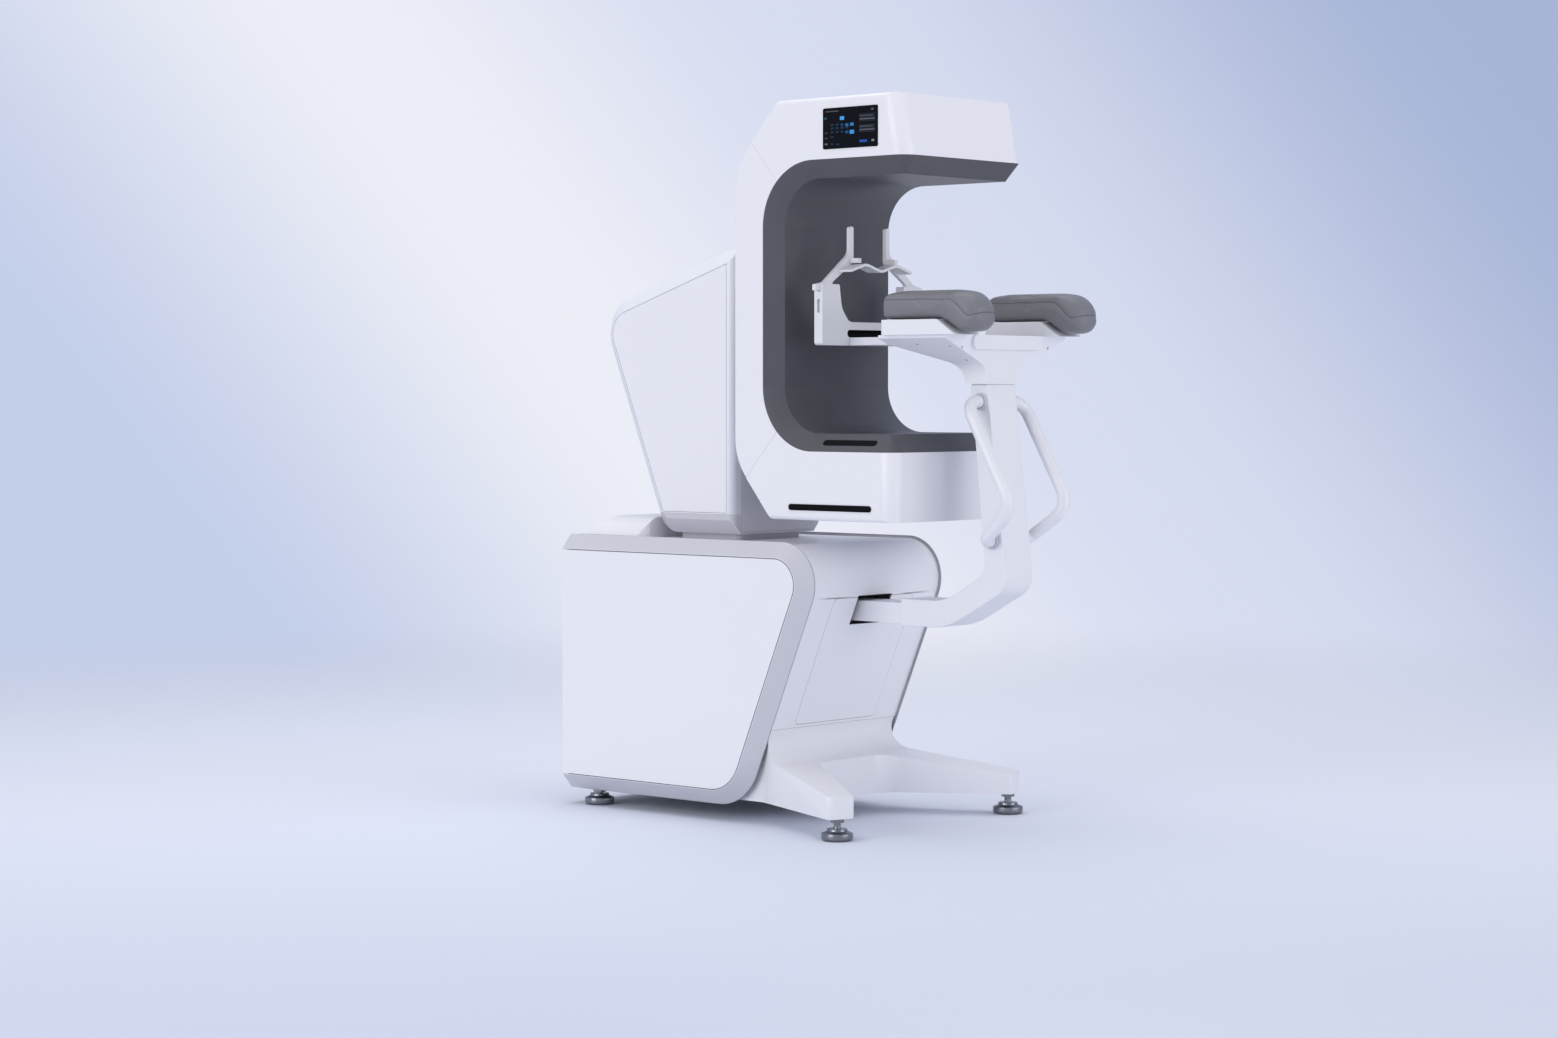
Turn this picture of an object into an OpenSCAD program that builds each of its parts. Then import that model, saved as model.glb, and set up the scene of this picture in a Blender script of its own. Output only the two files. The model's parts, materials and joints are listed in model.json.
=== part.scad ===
// Head CT scanner: a C-shaped gantry turns on a rear housing above a base cabinet, around a head holder
// and armrests carried by a column in front. Millimetres, Z up, front towards -Y, floor at zero.

/* [Gantry] */
// Height of the turning axis above the floor
axis_z = 1163; // [1120:1:1200]
// Width of the gantry
gantry_w = 424; // [404:2:440]
// Reach of the gantry above its axis
gantry_up = 470; // [460:1:480]
// Reach of the gantry below its axis
gantry_down = 470; // [465:1:480]
// Front of the gantry behind the line of the front feet
gantry_front = -80; // [-110:1:-60]
// Depth of the gantry, front to back
gantry_depth = 468; // [450:1:490]
// Run of the upper rear slope along the depth
slope_up_run = 131; // [110:1:150]
// Rise of the upper rear slope
slope_up_rise = 146; // [120:1:160]
// Run of the lower rear slope along the depth
slope_low_run = 109; // [90:1:130]
// Rise of the lower rear slope
slope_low_rise = 134; // [110:1:150]
// Radius where the back meets the upper slope
back_r_up = 180; // [60:1:200]
// Radius where the back meets the lower slope
back_r_low = 135; // [60:1:160]
// Radius where the slopes meet the top and the bottom
slope_r = 12; // [8:1:25]
// Radius of the upright front corners
front_r = 36; // [34:1:50]
// Reach of the upper arm in front of the lower arm
upper_reach = 36; // [20:1:45]
// How far the front of the upper arm leans back to its top
front_draft = 29; // [0:1:35]
// Radius of the long side edges
edge_r = 10; // [8:1:20]
// Wall of the gantry covers
cover_t = 5; // [3:0.5:6]
// Gap of the seams between covers
seam_gap = 0.4; // [0.2:0.1:1]
// Depth at which the slanted seams start on the throat side
seam_y = 262; // [240:1:280]

/* [Throat] */
// Height of the throat above the axis
throat_up = 293; // [280:1:300]
// Height of the throat below the axis
throat_down = 276; // [270:1:285]
// Depth of the throat behind the gantry front
throat_depth = 342; // [330:1:350]
// Radius of the throat corners
throat_r = 105; // [80:1:120]
// Width of the dark bevel seen from the front
bevel_w = 30; // [20:1:32]
// Depth of the dark bevel
bevel_d = 40; // [30:1:44]
// Wall of the throat liner
liner_t = 4; // [3:0.5:5]

/* [Screen and strips] */
// Width of the touch screen
screen_w = 158; // [120:1:180]
// Height of the touch screen
screen_h = 90; // [70:1:100]
// Front edge of the screen behind the gantry front
screen_in = 44; // [40:1:70]
// Top edge of the screen below the gantry top
screen_drop = 26; // [20:1:40]
// How far the glass stands proud of the cover
screen_proud = 1.5; // [0.5:0.5:3]
// Depth of the screen module
screen_t = 14; // [10:1:20]
// Corner radius of the screen
screen_r = 4; // [2:1:8]
// Length of the strip on the lower arm
arm_strip_l = 243; // [150:1:260]
// Height of the strip on the lower arm
arm_strip_h = 14; // [8:1:20]
// Height of that strip's middle above the gantry bottom
arm_strip_z = 29; // [24:1:60]
// Front end of that strip behind the gantry front
arm_strip_in = 62; // [50:1:80]
// Length of the strip on the bevel
bevel_strip_l = 156; // [100:1:200]
// Width of the strip on the bevel
bevel_strip_h = 15; // [8:1:20]
// Front end of the bevel strip behind the gantry front
bevel_strip_in = 58; // [50:1:80]

/* [Gantry works] */
// Width of the inner C frame
frame_w = 140; // [100:2:180]
// Plate thickness of the inner C frame
frame_t = 14; // [8:1:18]
// Radius of the tube head
tube_r = 44; // [30:1:48]
// Length of the tube head
tube_l = 190; // [120:2:240]
// Middle of the beam behind the gantry front
beam_in = 170; // [140:1:190]
// Height of the block that hangs the tube head
tube_hang = 58; // [50:1:62]
// Height of the tube port
port_h = 8; // [4:1:12]
// Height of the collimator
collimator_h = 28; // [15:1:30]
// Side of the square flat detector
detector_w = 260; // [200:2:300]
// Thickness of the flat detector
detector_t = 42; // [25:1:45]
// Height of the stand below the detector
detector_stand_h = 78; // [60:1:82]
// Radius of the hub flange
hub_r = 110; // [90:1:125]
// Thickness of the hub flange
hub_t = 42; // [30:1:55]
// Radius of the turning shaft
shaft_r = 60; // [45:0.5:70]
// Length of the turning shaft behind the flange
shaft_l = 190; // [180:1:220]
// Radius of the hub spigot that goes through the spine
spigot_r = 48; // [30:0.5:55]
// Clearance of plain bores that only locate
bore_gap = 0.1; // [0.05:0.05:0.3]

/* [Rear housing] */
// Front edge of the housing covers behind the front feet
housing_front = 446; // [440:1:460]
// Radius of the upright front edges of the housing
housing_front_r = 16; // [8:1:20]
// Half width across the flat side panels
housing_hw = 157; // [145:1:180]
// Width of the bevelled rims seen from behind
housing_rim_w = 30; // [20:1:35]
// Width of the bevelled rims seen from the side
housing_rim_d = 33; // [20:1:40]
// Height of the housing top at its front edge above the axis
housing_top = 156; // [140:1:170]
// Depth of the rear corner of the housing
housing_rear_y = 898; // [870:1:905]
// Height of the rear corner above the axis
housing_rear_z = 11; // [-20:1:30]
// Depth of the lower rear corner of the housing
housing_low_y = 686; // [680:1:700]
// Radius of the rear corner
housing_r_up = 90; // [50:1:110]
// Radius of the lower rear corner
housing_r_low = 60; // [30:1:70]
// Wall of the housing covers
housing_t = 4; // [3:0.5:6]
// Height of the bottom tray
tray_lip = 46; // [30:1:70]
// Plate of the front face
face_t = 10; // [6:1:14]
// Gap round the front face
face_gap = 0.5; // [0.3:0.1:1]
// Clearance of the front face round the shaft
face_bore = 8; // [5:1:12]
// Width of the panel grooves
groove_w = 0.8; // [0.5:0.1:1.2]
// Depth of the panel grooves
groove_d = 1; // [0.5:0.1:1.5]

/* [Turning drive] */
// Half width of the bearing pedestal
pedestal_hw = 110; // [100:1:115]
// Depth of the bearing pedestal
pedestal_d = 70; // [50:1:72]
// Front of the pedestal behind the front edge of the covers
pedestal_in = 20; // [15:1:25]
// Height of the pedestal's round top around the axis
pedestal_r = 100; // [90:1:105]
// Radial running clearance of the shaft
run_gap = 0.05; // [0.02:0.01:0.1]
// Radius of the driven pulley
pulley_r = 95; // [80:0.5:100]
// Radius of the motor pulley
motor_pulley_r = 24; // [18:0.5:30]
// Width of the pulleys
pulley_w = 32; // [20:1:36]
// Gap from the pedestal to the pulleys
pulley_gap = 15; // [8:1:20]
// Distance between the pulley axes
belt_span = 240; // [220:1:260]
// Thickness of the belt
belt_t = 2.5; // [1.5:0.5:4]
// Gap between belt and pulleys
belt_gap = 0.3; // [0.2:0.1:0.5]
// Radius of the motor shaft
motor_shaft_r = 9; // [6:0.5:12]
// Side of the square motor
motor_w = 96; // [80:1:110]
// Length of the motor
motor_l = 110; // [90:1:120]
// Length of the motor shaft between pulley and motor
motor_gap = 15; // [8:1:20]
// Depth of the motor stand
motor_stand_d = 34; // [28:1:36]

/* [Cabinet] */
// Gap between the turning gantry and the cabinet rims
swing_gap = 8; // [6:0.5:20]
// Half width between the side covers
cabinet_hw = 225; // [215:1:240]
// Depth of each side cover
side_d = 30; // [24:1:40]
// Width of the grey rims seen from the side
rim_d = 34; // [24:1:40]
// Height of the cabinet's lower edge
cabinet_z = 36; // [34:1:37]
// Back of the cabinet
cabinet_back = 906; // [900:1:930]
// Depth where the front slope meets the top
nose_y = 88; // [70:1:100]
// How far the front recedes from top to bottom
slope_back = 254; // [240:1:258]
// Radius of the nose
nose_r = 95; // [60:1:110]
// Radius of the lower front corner
toe_r = 125; // [60:1:130]
// How far the rims stand proud of the front cover
rim_lip = 6; // [3:0.5:8]
// Wall of the front cover
wrap_t = 4; // [3:0.5:5]
// Wall of the side covers
side_t = 4; // [3:0.5:6]
// Edge width of the side covers
side_edge = 13; // [12:0.5:16]
// Half width of the access panel
panel_hw = 140; // [120:1:160]
// Lower edge of the access panel
panel_low = 222; // [218:1:260]
// Upper edge of the access panel
panel_top = 514; // [508:1:530]
// Corner radius of the access panel
panel_r = 14; // [6:1:25]
// Gap round the access panel
panel_gap = 0.8; // [0.4:0.1:1]
// Wall of the rear panel
rear_t = 4; // [3:0.5:6]
// Number of vent slots in each rear field
vents = 9; // [4:1:12]
// Pitch of the vent slots
vent_pitch = 18; // [14:1:22]
// Length of the vent slots
vent_l = 150; // [80:1:180]
// Height of the vent slots
vent_h = 6; // [4:0.5:8]
// Height of the plinth under the housing
plinth_h = 14; // [8:1:20]
// Half width of the plinth
plinth_hw = 110; // [80:1:120]
// Half width of the rear hump on the deck
hump_hw = 183; // [150:1:190]
// Height of the rear hump
hump_h = 50; // [40:1:54]
// Radius of the hump's rear edge
hump_r = 92; // [86:1:96]
// Radius of the hump's side edges
hump_side_r = 80; // [60:1:84]
// Radius of the hump's upright corners
hump_corner_r = 44; // [34:1:60]
// Gap from the hump to the cabinet's back
hump_in = 8; // [6:1:20]
// Gap from the housing's lower corner to plinth and hump
plinth_in = 26; // [20:1:30]

/* [Legs and feet] */
// Height of the seam above the leg casting
leg_seam = 214; // [190:1:215]
// Sideways place of the front feet outside the cabinet body
foot_out = 80; // [65:1:95]
// Sideways place of the rear feet inside the cabinet body
rear_foot_in = 20; // [15:1:45]
// Depth of the rear feet
rear_foot_y = 832; // [800:1:850]
// Radius of the foot pads
foot_r = 35; // [28:0.5:40]
// Height of the turned foot bodies
foot_body = 26; // [22:1:27]
// Height of the rear feet below the base plate
foot_h = 38; // [38:1:44]
// Radius of the foot stems
stem_r = 8; // [6:0.5:10]
// Radius of the lock nuts across their corners
nut_r = 15.5; // [13:0.5:18]
// Height of the lock nuts
nut_h = 9; // [6:0.5:10]
// Underside of the leg casting
leg_z = 48; // [46:1:56]
// Height of the leg ends
leg_h = 46; // [40:1:55]
// Outer corner of a leg end outside its foot
end_out = 38; // [34:1:44]
// Inner corner of a leg end inside its foot
end_in = 23; // [20:1:30]
// Outer corner of a leg end in front of its foot
end_y = 8; // [4:1:14]
// How far a leg end is turned forwards on its inner side
end_turn = 22; // [10:1:28]
// Gap from the casting to the outer face of the cabinet body
casting_gap = 17; // [12:1:25]
// Depth of the casting's flanks behind the heel
flank_y = 30; // [10:1:40]
// Depth of the web's front edge
web_y = 221; // [180:1:230]
// Half width of the web's front edge
web_hw = 117; // [100:1:130]
// Rear face of the casting
casting_back = 430; // [425:1:440]
// Radius of the hollow between the legs
web_r = 70; // [40:1:80]
// Height where the leg tops meet the front slope
instep_z = 150; // [140:1:170]
// Radius of the hollow under the front cover
heel_r = 50; // [30:1:80]
// Base plate thickness
base_t = 8; // [6:1:12]
// Side of the square chassis posts
post_w = 40; // [30:1:45]

/* [Cabinet works] */
// Distance of the mains inlet from the cabinet's side
inlet_in = 105; // [95:1:120]
// Height of the mains inlet above the base plate
inlet_up = 60; // [45:1:80]
// Half width of the generator
generator_hw = 120; // [100:1:125]
// Length of the generator
generator_l = 190; // [150:1:200]
// Height of the generator
generator_h = 220; // [180:1:240]
// Height of the generator fins
fin_h = 40; // [20:1:45]
// Thickness of the generator fins
fin_t = 8; // [4:0.5:10]
// Half width of the control unit
control_hw = 115; // [90:1:120]
// Depth of the control unit
control_d = 105; // [80:1:110]
// Height of the control unit
control_h = 260; // [200:1:280]

/* [Patient column] */
// Half width of the column and its arm
column_hw = 50; // [45:0.5:55]
// Underside of the arm
arm_z = 455; // [450:1:462]
// Height of the arm sleeve
sleeve_h = 61; // [56:1:64]
// Step from the sleeve to the beam on each side
beam_step = 5; // [3:0.5:6]
// Depth where the sleeve ends
sleeve_end = 32; // [20:1:60]
// Depth where the underside starts to rise
arm_bend_y = -101; // [-110:1:-90]
// Depth of the column's front knee
knee_y = -268; // [-276:1:-262]
// Height of the column's front knee
knee_z = 548; // [540:1:556]
// How far the column leans back to its top
column_lean = 55; // [45:1:60]
// Depth of the column at its top
column_top_d = 45; // [42:1:50]
// Depth of the inner bend behind the knee
crook_y = -209; // [-214:1:-204]
// Height of the inner bend
crook_z = 582; // [576:1:590]
// Radius of the knee
knee_r = 50; // [30:1:60]
// Radius of the bend under the arm
arm_bend_r = 190; // [80:1:200]
// Half width of the opening for the arm
slot_hw = 60; // [56:1:66]
// Room in the opening above the beam
slot_above = 12; // [8:1:12]
// Room in the opening below the beam
slot_below = 9; // [6:1:12]
// Radius of the grip tubes
grip_r = 14; // [10:0.5:16]
// Reach of the grips from the middle
grip_x = 102; // [96:1:110]
// Upper grip end below the bracket
grip_drop = 38; // [34:1:50]
// Lower grip end above the knee
grip_low = 106; // [95:1:120]
// Front reach of the grips
grip_y = -324; // [-325:1:-296]
// Height of the grip bend above its lower end
grip_rise = 74; // [66:1:95]
// Radius of the upper grip bend
grip_r_up = 38; // [30:1:42]
// Radius of the front grip bend
grip_r_mid = 48; // [40:1:70]
// Radius of the lower grip bend
grip_r_low = 24; // [18:1:26]
// Radius of the grip collars
collar_r = 19; // [17:0.5:21]
// Thickness of the grip collars
collar_t = 6; // [4:0.5:8]

/* [Armrests] */
// Top of the trays below the axis
rest_drop = 26; // [15:1:35]
// Height of the trays
tray_h = 33; // [25:1:40]
// Sideways middle of the armrests
rest_x = 184; // [175:1:188]
// Width of the trays
tray_w = 92; // [80:1:96]
// Rear end of the trays
tray_rear = -56; // [-64:1:-50]
// Front of the tray tops
tray_front = -216; // [-225:1:-205]
// Slope of the tray fronts along the depth
tray_slope = 48; // [35:1:55]
// Width of the pads
pad_w = 100; // [90:1:104]
// Rear end of the pads
pad_rear = -53; // [-62:1:-46]
// Front end of the pads
pad_front = -326; // [-335:1:-322]
// Thickness of the pads
pad_t = 63; // [45:1:75]
// Radius of the pad nose in plan
pad_r = 42; // [25:1:44]
// Gap between pad and tray
pad_gap = 0.3; // [0.2:0.1:0.5]
// Height of the bracket
bracket_h = 107; // [100:1:115]
// Half width of the bracket neck
neck_hw = 59; // [56:1:64]
// Half width of the bracket wings
wing_hw = 215; // [200:1:220]
// Thickness of the wing ends
wing_t = 7; // [5:1:10]
// Height of the apron between the trays
apron_h = 31; // [25:1:36]
// Half width of the apron
apron_hw = 122; // [110:1:126]
// Rear end of the bracket
bracket_rear = -40; // [-50:1:-30]

/* [Head holder] */
// Half width of the plate to the head holder
plate_hw = 80; // [60:1:86]
// Thickness of the plate
plate_t = 18; // [12:1:18]
// Front face of the yoke
yoke_y = 158; // [140:1:170]
// Depth of the yoke
yoke_d = 24; // [22:1:30]
// Half width of the yoke
yoke_hw = 173; // [165:1:185]
// Height of the yoke posts above the plate's underside
yoke_h = 137; // [125:1:150]
// Width of the yoke posts at the top
post_top_w = 59; // [54:1:64]
// Height of the bottom of the U above the plate's underside
u_low = 43; // [40:1:50]
// Half width of the bottom of the U
u_hw = 72; // [60:1:80]
// Half length of the black slot
holder_slot_hw = 87; // [70:1:95]
// Height of the black slot
holder_slot_h = 17; // [12:1:17]
// Depth of the black slot
holder_slot_d = 16; // [10:1:18]
// Width of the sliding legs
leg_w = 34; // [28:1:36]
// Thickness of the sliding legs
leg_t = 9.4; // [6:0.1:10]
// Running gap of the sliding legs
leg_gap = 0.3; // [0.2:0.05:0.5]
// Outer wall beside the legs
leg_wall = 8.5; // [6:0.5:10]
// Length of leg inside the post
leg_in = 85; // [70:1:88]
// Height travel of the head support
head_travel = 30; // [20:1:35]
// Half distance between the temple prongs
temple_x = 57; // [50:1:66]
// Width of the temple prongs
temple_w = 13; // [10:1:15]
// Height of the prong tips above the post tops
temple_h = 132; // [110:1:150]
// Height of the prong roots above the post tops
temple_root = 51; // [48:1:60]
// Reach of the prong feet over the chin rest
temple_foot = 24; // [12:1:30]
// Reach of the release tabs past the posts
tab_out = 15; // [8:1:18]
// Height of the release tabs
tab_h = 14; // [8:1:15]
// Half length of the chin rest
chin_hw = 108; // [104:1:120]
// Height of the chin rest ends above the post tops
chin_z = 33; // [28:1:40]
// Rise of the chin rest shoulders
chin_wave = 16; // [8:1:18]
// Thickness of the chin rest
chin_t = 6; // [4:0.5:8]
// Depth of the chin rest
chin_d = 36; // [25:1:45]

/* [Hidden] */
$fn = 96;
cut = 1;
tube_sides = 24;
tube_step = 9;
white = "#ecebf1";
rim_grey = "#c8c8d0";
dark_grey = "#56575d";
pad_grey = "#77777d";
black = "#101114";
steel = "#8f9297";
zinc = "#b4b7bb";

gantry_hw = gantry_w / 2;
gantry_back = gantry_front + gantry_depth;
upper_front = gantry_front - upper_reach;
gantry_top = axis_z + gantry_up;
gantry_bottom = axis_z - gantry_down;
throat_back = gantry_front + throat_depth;
draft_z = axis_z + throat_up + bevel_d;
draft_a = atan(front_draft / (gantry_top - draft_z));
run_out = 50;
bevel_k = bevel_w / bevel_d;
beam_y = gantry_front + beam_in;
swing_reach = max(gantry_down, gantry_up) - edge_r;
swing_r = norm([gantry_hw - edge_r, swing_reach]) + edge_r;
rim_top = axis_z - swing_r - swing_gap;
deck_z = rim_top - rim_lip;
housing_z = deck_z + plinth_h;
housing_core = housing_hw - housing_rim_w;
tray_seam = housing_z + tray_lip;
hub_y = gantry_back;
shaft_y = hub_y + hub_t;
pedestal_y = housing_front + pedestal_in;
pulley_y = pedestal_y + pedestal_d + pulley_gap;
motor_z = axis_z - belt_span;
motor_y = pulley_y + pulley_w + motor_gap;
toe_y = nose_y + slope_back;
side_x = cabinet_hw + side_d;
foot_x = cabinet_hw + foot_out;
rear_foot_x = cabinet_hw - rear_foot_in;
casting_hw = cabinet_hw - casting_gap;
base_z = foot_h;
base_top = base_z + base_t;
post_x = casting_hw - post_w / 2;
beam_z0 = arm_z + beam_step;
beam_z1 = arm_z + sleeve_h - 2 * beam_step;
beam_hw = column_hw - beam_step;
mount_y = casting_back + post_w;
rest_z = axis_z - rest_drop;
bracket_top = rest_z - tray_h;
bracket_z = bracket_top - bracket_h;
column_top_y = knee_y + column_lean;
neck_front = column_top_y - 3;
neck_rear = column_top_y + column_top_d + 8;
apron_front = neck_front - 18;
plate_z = bracket_top - 1 - plate_t;
post_z = plate_z + yoke_h;
leg_y = yoke_y + yoke_d / 2;
leg_x = yoke_hw - leg_wall;
slot_floor = post_z - leg_in - 3;
y_mid = (pad_front + cabinet_back) / 2;

// Outlines are lists of [x, y, corner radius], counter-clockwise.
function unit(v) = v / norm(v);
function flat(v) = [v[0], v[1]];
function before(p, i) = p[(i + len(p) - 1) % len(p)];
function after(p, i) = p[(i + 1) % len(p)];
function to_before(p, i) = unit(flat(before(p, i)) - flat(p[i]));
function to_after(p, i) = unit(flat(after(p, i)) - flat(p[i]));
function half_angle(p, i) = acos(to_before(p, i) * to_after(p, i)) / 2;
function reach(p, i) = p[i][2] / tan(half_angle(p, i));
function turn(p, i) = to_before(p, i)[1] * to_after(p, i)[0] - to_before(p, i)[0] * to_after(p, i)[1];
function arc_middle(p, i) =
  flat(p[i]) + unit(to_before(p, i) + to_after(p, i)) * p[i][2] / sin(half_angle(p, i));
function left_of(v) = [-v[1], v[0]];
function inset_point(p, i, t) =
  let (a = left_of(-to_before(p, i)), b = left_of(to_after(p, i))) flat(p[i]) + t * (a + b) / (1 + a * b);
function inset_radius(p, i, t) = p[i][2] == 0 ? 0 : max(0.5, turn(p, i) > 0 ? p[i][2] - t : p[i][2] + t);
// The outline moved inwards by t on every side
function inset(p, t) =
  [for (i = [0:len(p) - 1]) let (q = inset_point(p, i, t)) [q[0], q[1], inset_radius(p, i, t)]];
function box_outline(x0, y0, x1, y1, r) = [[x0, y0, r], [x1, y0, r], [x1, y1, r], [x0, y1, r]];

function arc_start(p, i) = flat(p[i]) + to_before(p, i) * reach(p, i);
function arc_end(p, i) = flat(p[i]) + to_after(p, i) * reach(p, i);

function corner_points(p) =
  [for (i = [0:len(p) - 1]) each (p[i][2] == 0 ? [flat(p[i])] : [arc_start(p, i), arc_end(p, i)])];

// Whole disc of corner i
module corner_disc(p, i) translate(arc_middle(p, i)) circle(p[i][2]);

// Disc of corner i, kept only between its two tangent points
module corner_arc(p, i) {
  out = flat(p[i]) - arc_middle(p, i);
  chord = (arc_start(p, i) + arc_end(p, i)) / 2;
  intersection() {
    corner_disc(p, i);
    polygon([arc_start(p, i), chord - unit(out) * p[i][2] / 50, arc_end(p, i), flat(p[i]) + out]);
  }
}

// Straight outline with true arcs at its corners, for a form wider than its corner discs
module rounded(p) difference() {
  union() {
    polygon(corner_points(p));
    for (i = [0:len(p) - 1]) if (p[i][2] > 0 && turn(p, i) > 0) corner_disc(p, i);
  }
  for (i = [0:len(p) - 1]) if (p[i][2] > 0 && turn(p, i) < 0) corner_disc(p, i);
}

// The same for a form that is slimmer than its corner discs
module rounded_slim(p) difference() {
  union() {
    polygon(corner_points(p));
    for (i = [0:len(p) - 1]) if (p[i][2] > 0 && turn(p, i) > 0) corner_arc(p, i);
  }
  for (i = [0:len(p) - 1]) if (p[i][2] > 0 && turn(p, i) < 0) corner_arc(p, i);
}

module stadium(l, h) {
  square([l - h, h], center = true);
  for (s = [-1, 1]) translate([s * (l - h) / 2, 0]) circle(h / 2);
}

// Extrusions of a side view along X, a front view along Y and a plan along Z
module yz(x0, x1) translate([x0, 0, 0]) rotate([90, 0, 90]) linear_extrude(x1 - x0) children();
module xz(y0, y1) translate([0, y1, 0]) rotate([90, 0, 0]) linear_extrude(y1 - y0) children();
module xy(z0, z1) translate([0, 0, z0]) linear_extrude(z1 - z0) children();
module block(x0, x1, y0, y1, z0, z1) translate([x0, y0, z0]) cube([x1 - x0, y1 - y0, z1 - z0]);
module rod_y(x, y0, y1, z, r) translate([x, y0, z]) rotate([-90, 0, 0]) cylinder(h = y1 - y0, r = r);
module rod_x(x0, x1, y, z, r) translate([x0, y, z]) rotate([0, 90, 0]) cylinder(h = x1 - x0, r = r);

// Rings of a bent tube: [middle, direction] at both ends and round a bend at each inner point of p
function bend_reach(u, v, bend) = bend * tan(acos(u * v) / 2);
function bend_rings(p, u, v, bend) =
  let (n = unit(v - u * (u * v)), a = acos(u * v), c = p - u * bend_reach(u, v, bend) + n * bend,
    k = ceil(a / tube_step))
  [for (j = [0:k]) let (f = a * j / k) [c + (u * sin(f) - n * cos(f)) * bend, u * cos(f) + n * sin(f)]];
function tube_rings(p, bends) =
  let (last = len(p) - 1, d = [for (i = [0:last - 1]) unit(p[i + 1] - p[i])])
  [[p[0], d[0]], each [for (i = [1:last - 1]) each bend_rings(p[i], d[i - 1], d[i], bends[i - 1])],
    [p[last], d[last - 1]]];

// Tube of radius r through points p, swept as one skin; side is never along the tube
module bent_tube(p, bends, r, side) {
  rings = tube_rings(p, bends);
  n = tube_sides;
  last = len(rings) - 1;
  skin = [for (g = rings) let (e = unit(cross(side, g[1])), f = cross(g[1], e))
    for (j = [0:n - 1]) g[0] + r * (e * cos(360 * j / n) + f * sin(360 * j / n))];
  walls = [for (i = [0:last - 1]) for (j = [0:n - 1]) let (a = i * n + j, b = i * n + (j + 1) % n)
    each [[a, a + n, b], [b, a + n, b + n]]];
  ends = [[for (j = [0:n - 1]) j], [for (j = [0:n - 1]) last * n + n - 1 - j]];
  polyhedron(points = skin, faces = concat(walls, ends));
}

// Gantry side view without its throat, from a given front
function gantry_outline(front) = [
  [front, gantry_bottom, 0],
  [gantry_back - slope_low_run, gantry_bottom, slope_r],
  [gantry_back, gantry_bottom + slope_low_rise, back_r_low],
  [gantry_back, gantry_top - slope_up_rise, back_r_up],
  [gantry_back - slope_up_run, gantry_top, slope_r],
  [front, gantry_top, 0]];

// Gantry plan with round front corners, moved in by t
module gantry_plan(t, front) {
  rounded(inset([
    [-gantry_hw, front, front_r], [gantry_hw, front, front_r],
    [gantry_hw, gantry_back + run_out, 0], [-gantry_hw, gantry_back + run_out, 0]], t));
}

// Gantry block with soft edges, moved in by t, its front turned back by lean degrees above the throat
module gantry_block(t, front, lean) {
  intersection() {
    yz(t - gantry_hw, gantry_hw - t) rounded(inset(gantry_outline(front), t));
    translate([0, front, draft_z]) rotate([-lean, 0, 0]) translate([0, -front, -2 * gantry_down])
      linear_extrude(4 * gantry_up) gantry_plan(t, front);
    xz(front, gantry_back)
      rounded(inset(box_outline(-gantry_hw, gantry_bottom, gantry_hw, gantry_top, edge_r), t));
  }
}

module throat_block(n, hw) {
  yz(-hw, hw) rounded([
    [upper_front - run_out, axis_z - throat_down - n, 0],
    [throat_back + n, axis_z - throat_down - n, throat_r + n],
    [throat_back + n, axis_z + throat_up + n, throat_r + n],
    [upper_front - run_out, axis_z + throat_up + n, 0]]);
}

module screen_outline(gap) {
  y0 = gantry_front + screen_in - gap;
  z1 = gantry_top - screen_drop + gap;
  rounded(box_outline(y0, z1 - screen_h - 2 * gap, y0 + screen_w + 2 * gap, z1, screen_r));
}

module arm_strip_outline(gap) {
  translate([gantry_front + arm_strip_in + arm_strip_l / 2, gantry_bottom + arm_strip_z])
    stadium(arm_strip_l + 2 * gap, arm_strip_h + 2 * gap);
}

// Bar across the left lower bevel, from depth d0 below its face to d1 above it
module bevel_strip_bar(gap, d0, d1) {
  translate([bevel_w / 2 - gantry_hw, gantry_front + bevel_strip_in + bevel_strip_l / 2,
    axis_z - throat_down - bevel_d / 2])
    rotate([0, -atan2(bevel_d, bevel_w), 0]) translate([0, 0, d0])
      linear_extrude(d1 - d0) rotate(90) stadium(bevel_strip_l + 2 * gap, bevel_strip_h + 2 * gap);
}

module gantry_shell(front, lean) {
  difference() {
    gantry_block(0, front, lean);
    gantry_block(cover_t, front, lean);
    throat_block(bevel_d, gantry_hw + cut);
    yz(-gantry_hw - cut, -gantry_hw + 2 * cover_t) screen_outline(seam_gap / 2);
    yz(-gantry_hw - cut, -gantry_hw + 2 * cover_t) arm_strip_outline(seam_gap / 2);
    rod_y(0, gantry_back - 2 * cover_t, gantry_back + cut, axis_z, spigot_r + bore_gap);
  }
}

// Seam lines run square to the rear slopes
function seam_up() = [gantry_back - slope_up_run / 2.6, gantry_top - slope_up_rise / 1.64];
function seam_low() = [gantry_back - slope_low_run / 3.2, gantry_bottom + slope_low_rise / 1.46];
module seam_side(top, shift) {
  s = top ? 1 : -1;
  q = top ? seam_up() : seam_low();
  p = [seam_y, axis_z + s * ((top ? throat_up : throat_down) + shift * s)];
  d = unit(q - p);
  far = 400;
  a = p - d * far + [0, s * seam_gap / 2];
  b = q + d * far + [0, s * seam_gap / 2];
  up = s * gantry_up * 2;
  polygon([a, b, b + [0, up], a + [-2 * far, up], a + [-2 * far, 0]]);
}

module upper_arm_cover() color(white) intersection() {
  gantry_shell(upper_front, draft_a);
  yz(-gantry_w, gantry_w) seam_side(true, 0);
}

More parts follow.
